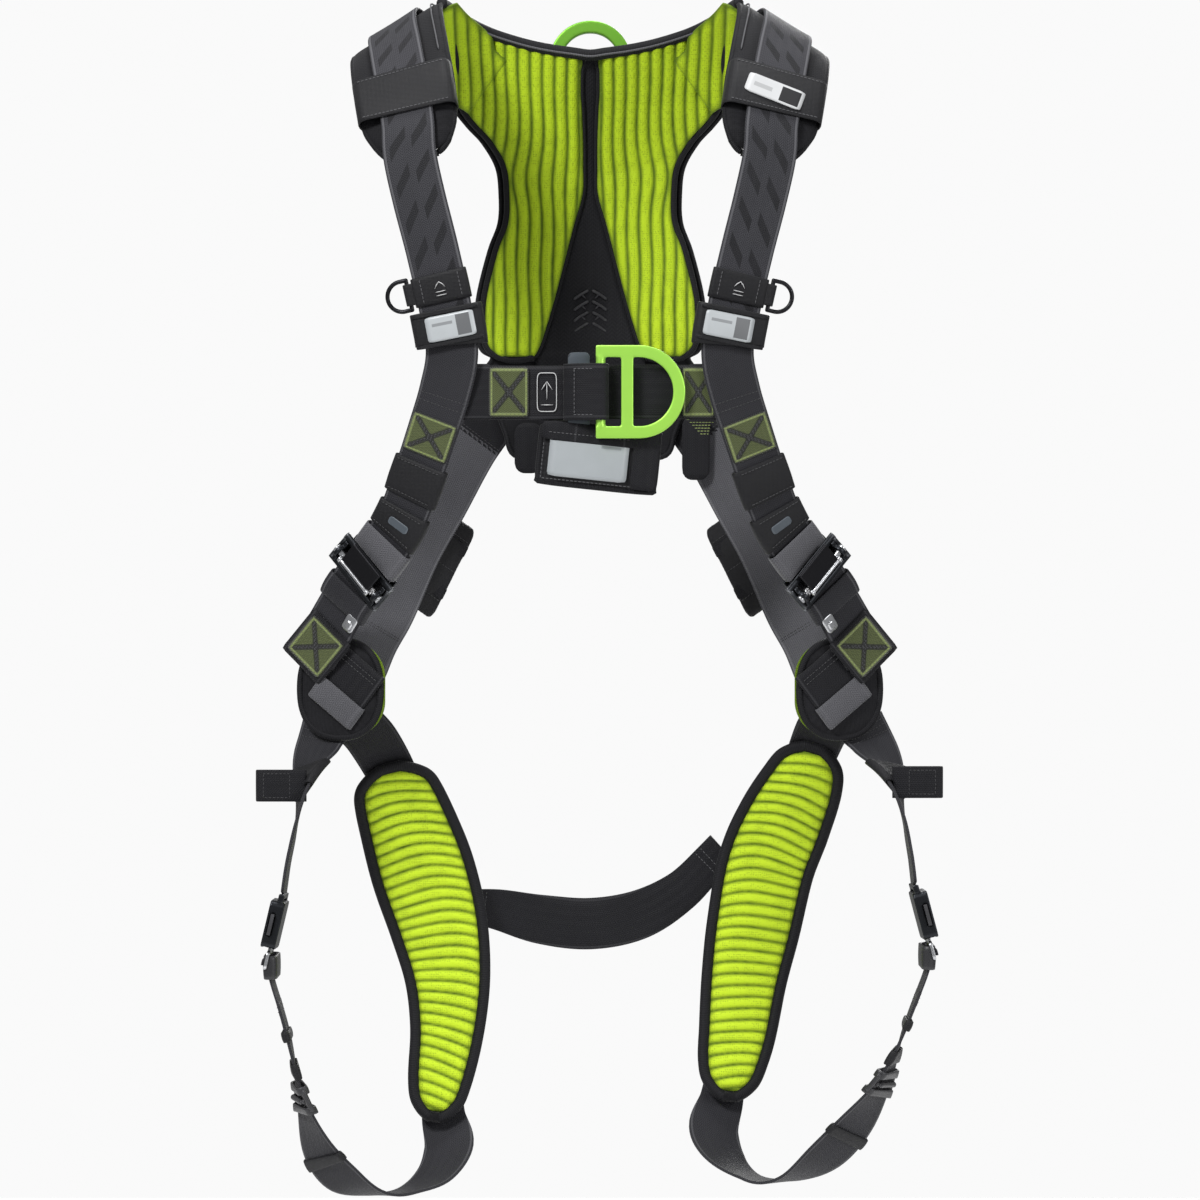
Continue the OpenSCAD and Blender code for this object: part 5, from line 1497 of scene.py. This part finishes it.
for node, mat, width, forged in (
        ("dorsal_ring", "dorsal", 0, 0.8), ("chest_ring", "chest", 0, 0.75),
        ("dorsal_plate", "plastic", 0.7, 0), ("chest_ring_plate", "slate", 0.45, 0),
        ("lanyard_ring_left", "black_steel", 0, 0), ("lanyard_ring_right", "black_steel", 0, 0)):
    dress(node, M[mat], width, forged)
for side in ("left", "right"):
    for node, mat, width, forged in (
            ("cam_frame_", "buckle", 0, 0.6), ("cam_pin_", "steel", 0.35, 0),
            ("cam_lever_", "black_steel", 0, 0.5), ("leg_buckle_", "buckle", 0, 0.6),
            ("leg_tongue_", "steel", 0.4, 0), ("leg_tab_front_", "plastic", 0.5, 0),
            ("leg_tab_rear_", "plastic", 0.5, 0)):
        dress(node + side, M[mat], width, forged)


def spring(centre, axis, radius, wire, turns, length, legs=0.0):
    """A wound spring along axis. legs turns its ends out by that much."""
    axis = unit(axis)
    x = unit(np.cross(axis, (0.3, 0.2, 0.9)))
    y = np.cross(axis, x)
    n = int(turns * 14)
    pts = [centre + axis * length * k / n + radius
           * (math.cos(TAU * turns * k / n) * x + math.sin(TAU * turns * k / n) * y)
           for k in range(n + 1)]
    if legs:
        pts = [pts[0] + y * -legs] + pts + [pts[-1] + x * legs * 0.6 + y * legs]
    soup = Soup()
    tube(soup, [tuple(q) for q in pts], wire, up=tuple(axis), sides=7, steps=1)
    return soup


cam_p, cam_w, cam_o, cam_t = front_line.axes(front_line.at(CAM_U))
for side, right in SIDES:
    coil = spring(cam_p + cam_o * 8 + cam_w * 18.4, cam_w, 3.4, 0.38, 4, 3.2, 3.0)
    coil.make("cam_coil_" + side, "wire", "cam_spring_" + side, body="cam_lever_" + side, right=right)
    rod = Soup()
    tube(rod, [tuple(cam_p + cam_o * 13.3 + cam_t * 1.5 + cam_w * v) for v in (-19, -10, 0, 10, 19)], 1.7,
         1.0, up=tuple(cam_t), sides=12, steps=3)
    for v in (-18.6, 18.6):
        tube(rod, [tuple(cam_p + cam_o * 13.0 + cam_t * 1.5 + cam_w * (v + d)) for d in (-1.6, 0, 1.6)],
             2.9, 1.0, up=tuple(cam_t), sides=14, steps=3)
    bars = Soup()
    for v, r, up_by in ((-12.5, 3.6, 4.2), (12.5, 2.6, 3.6)):
        tube(bars, [tuple(cam_p + cam_o * up_by + cam_t * v + cam_w * a)
                    for a in (-31, -30, -15, 0, 15, 30, 31)], r, 0.7, up=tuple(cam_t), sides=14, steps=3)
    for a in (-29.5, 29.5):
        tube(bars, [tuple(cam_p + cam_o * 3.8 + cam_w * a + cam_t * v) for v in (-13, -6, 0, 6, 13)], 2.4,
             1.2, up=tuple(cam_w), sides=12, steps=3)
    bars.make("cam_bars_" + side, "buckle", right=right)
    rod.make("cam_rod_" + side, "steel", body="cam_lever_" + side, right=right)
    buckle = strap(BUCKLE[side])
    p, w, o, t = buckle.axes(buckle.at(BUCKLE_U))
    coil = spring(p + o * 3.5 - w * 4.8, w, 0.9, 0.32, 9, 9.6)
    coil.make("tab_coil_" + side, "wire", "leg_spring_" + side, right=right)
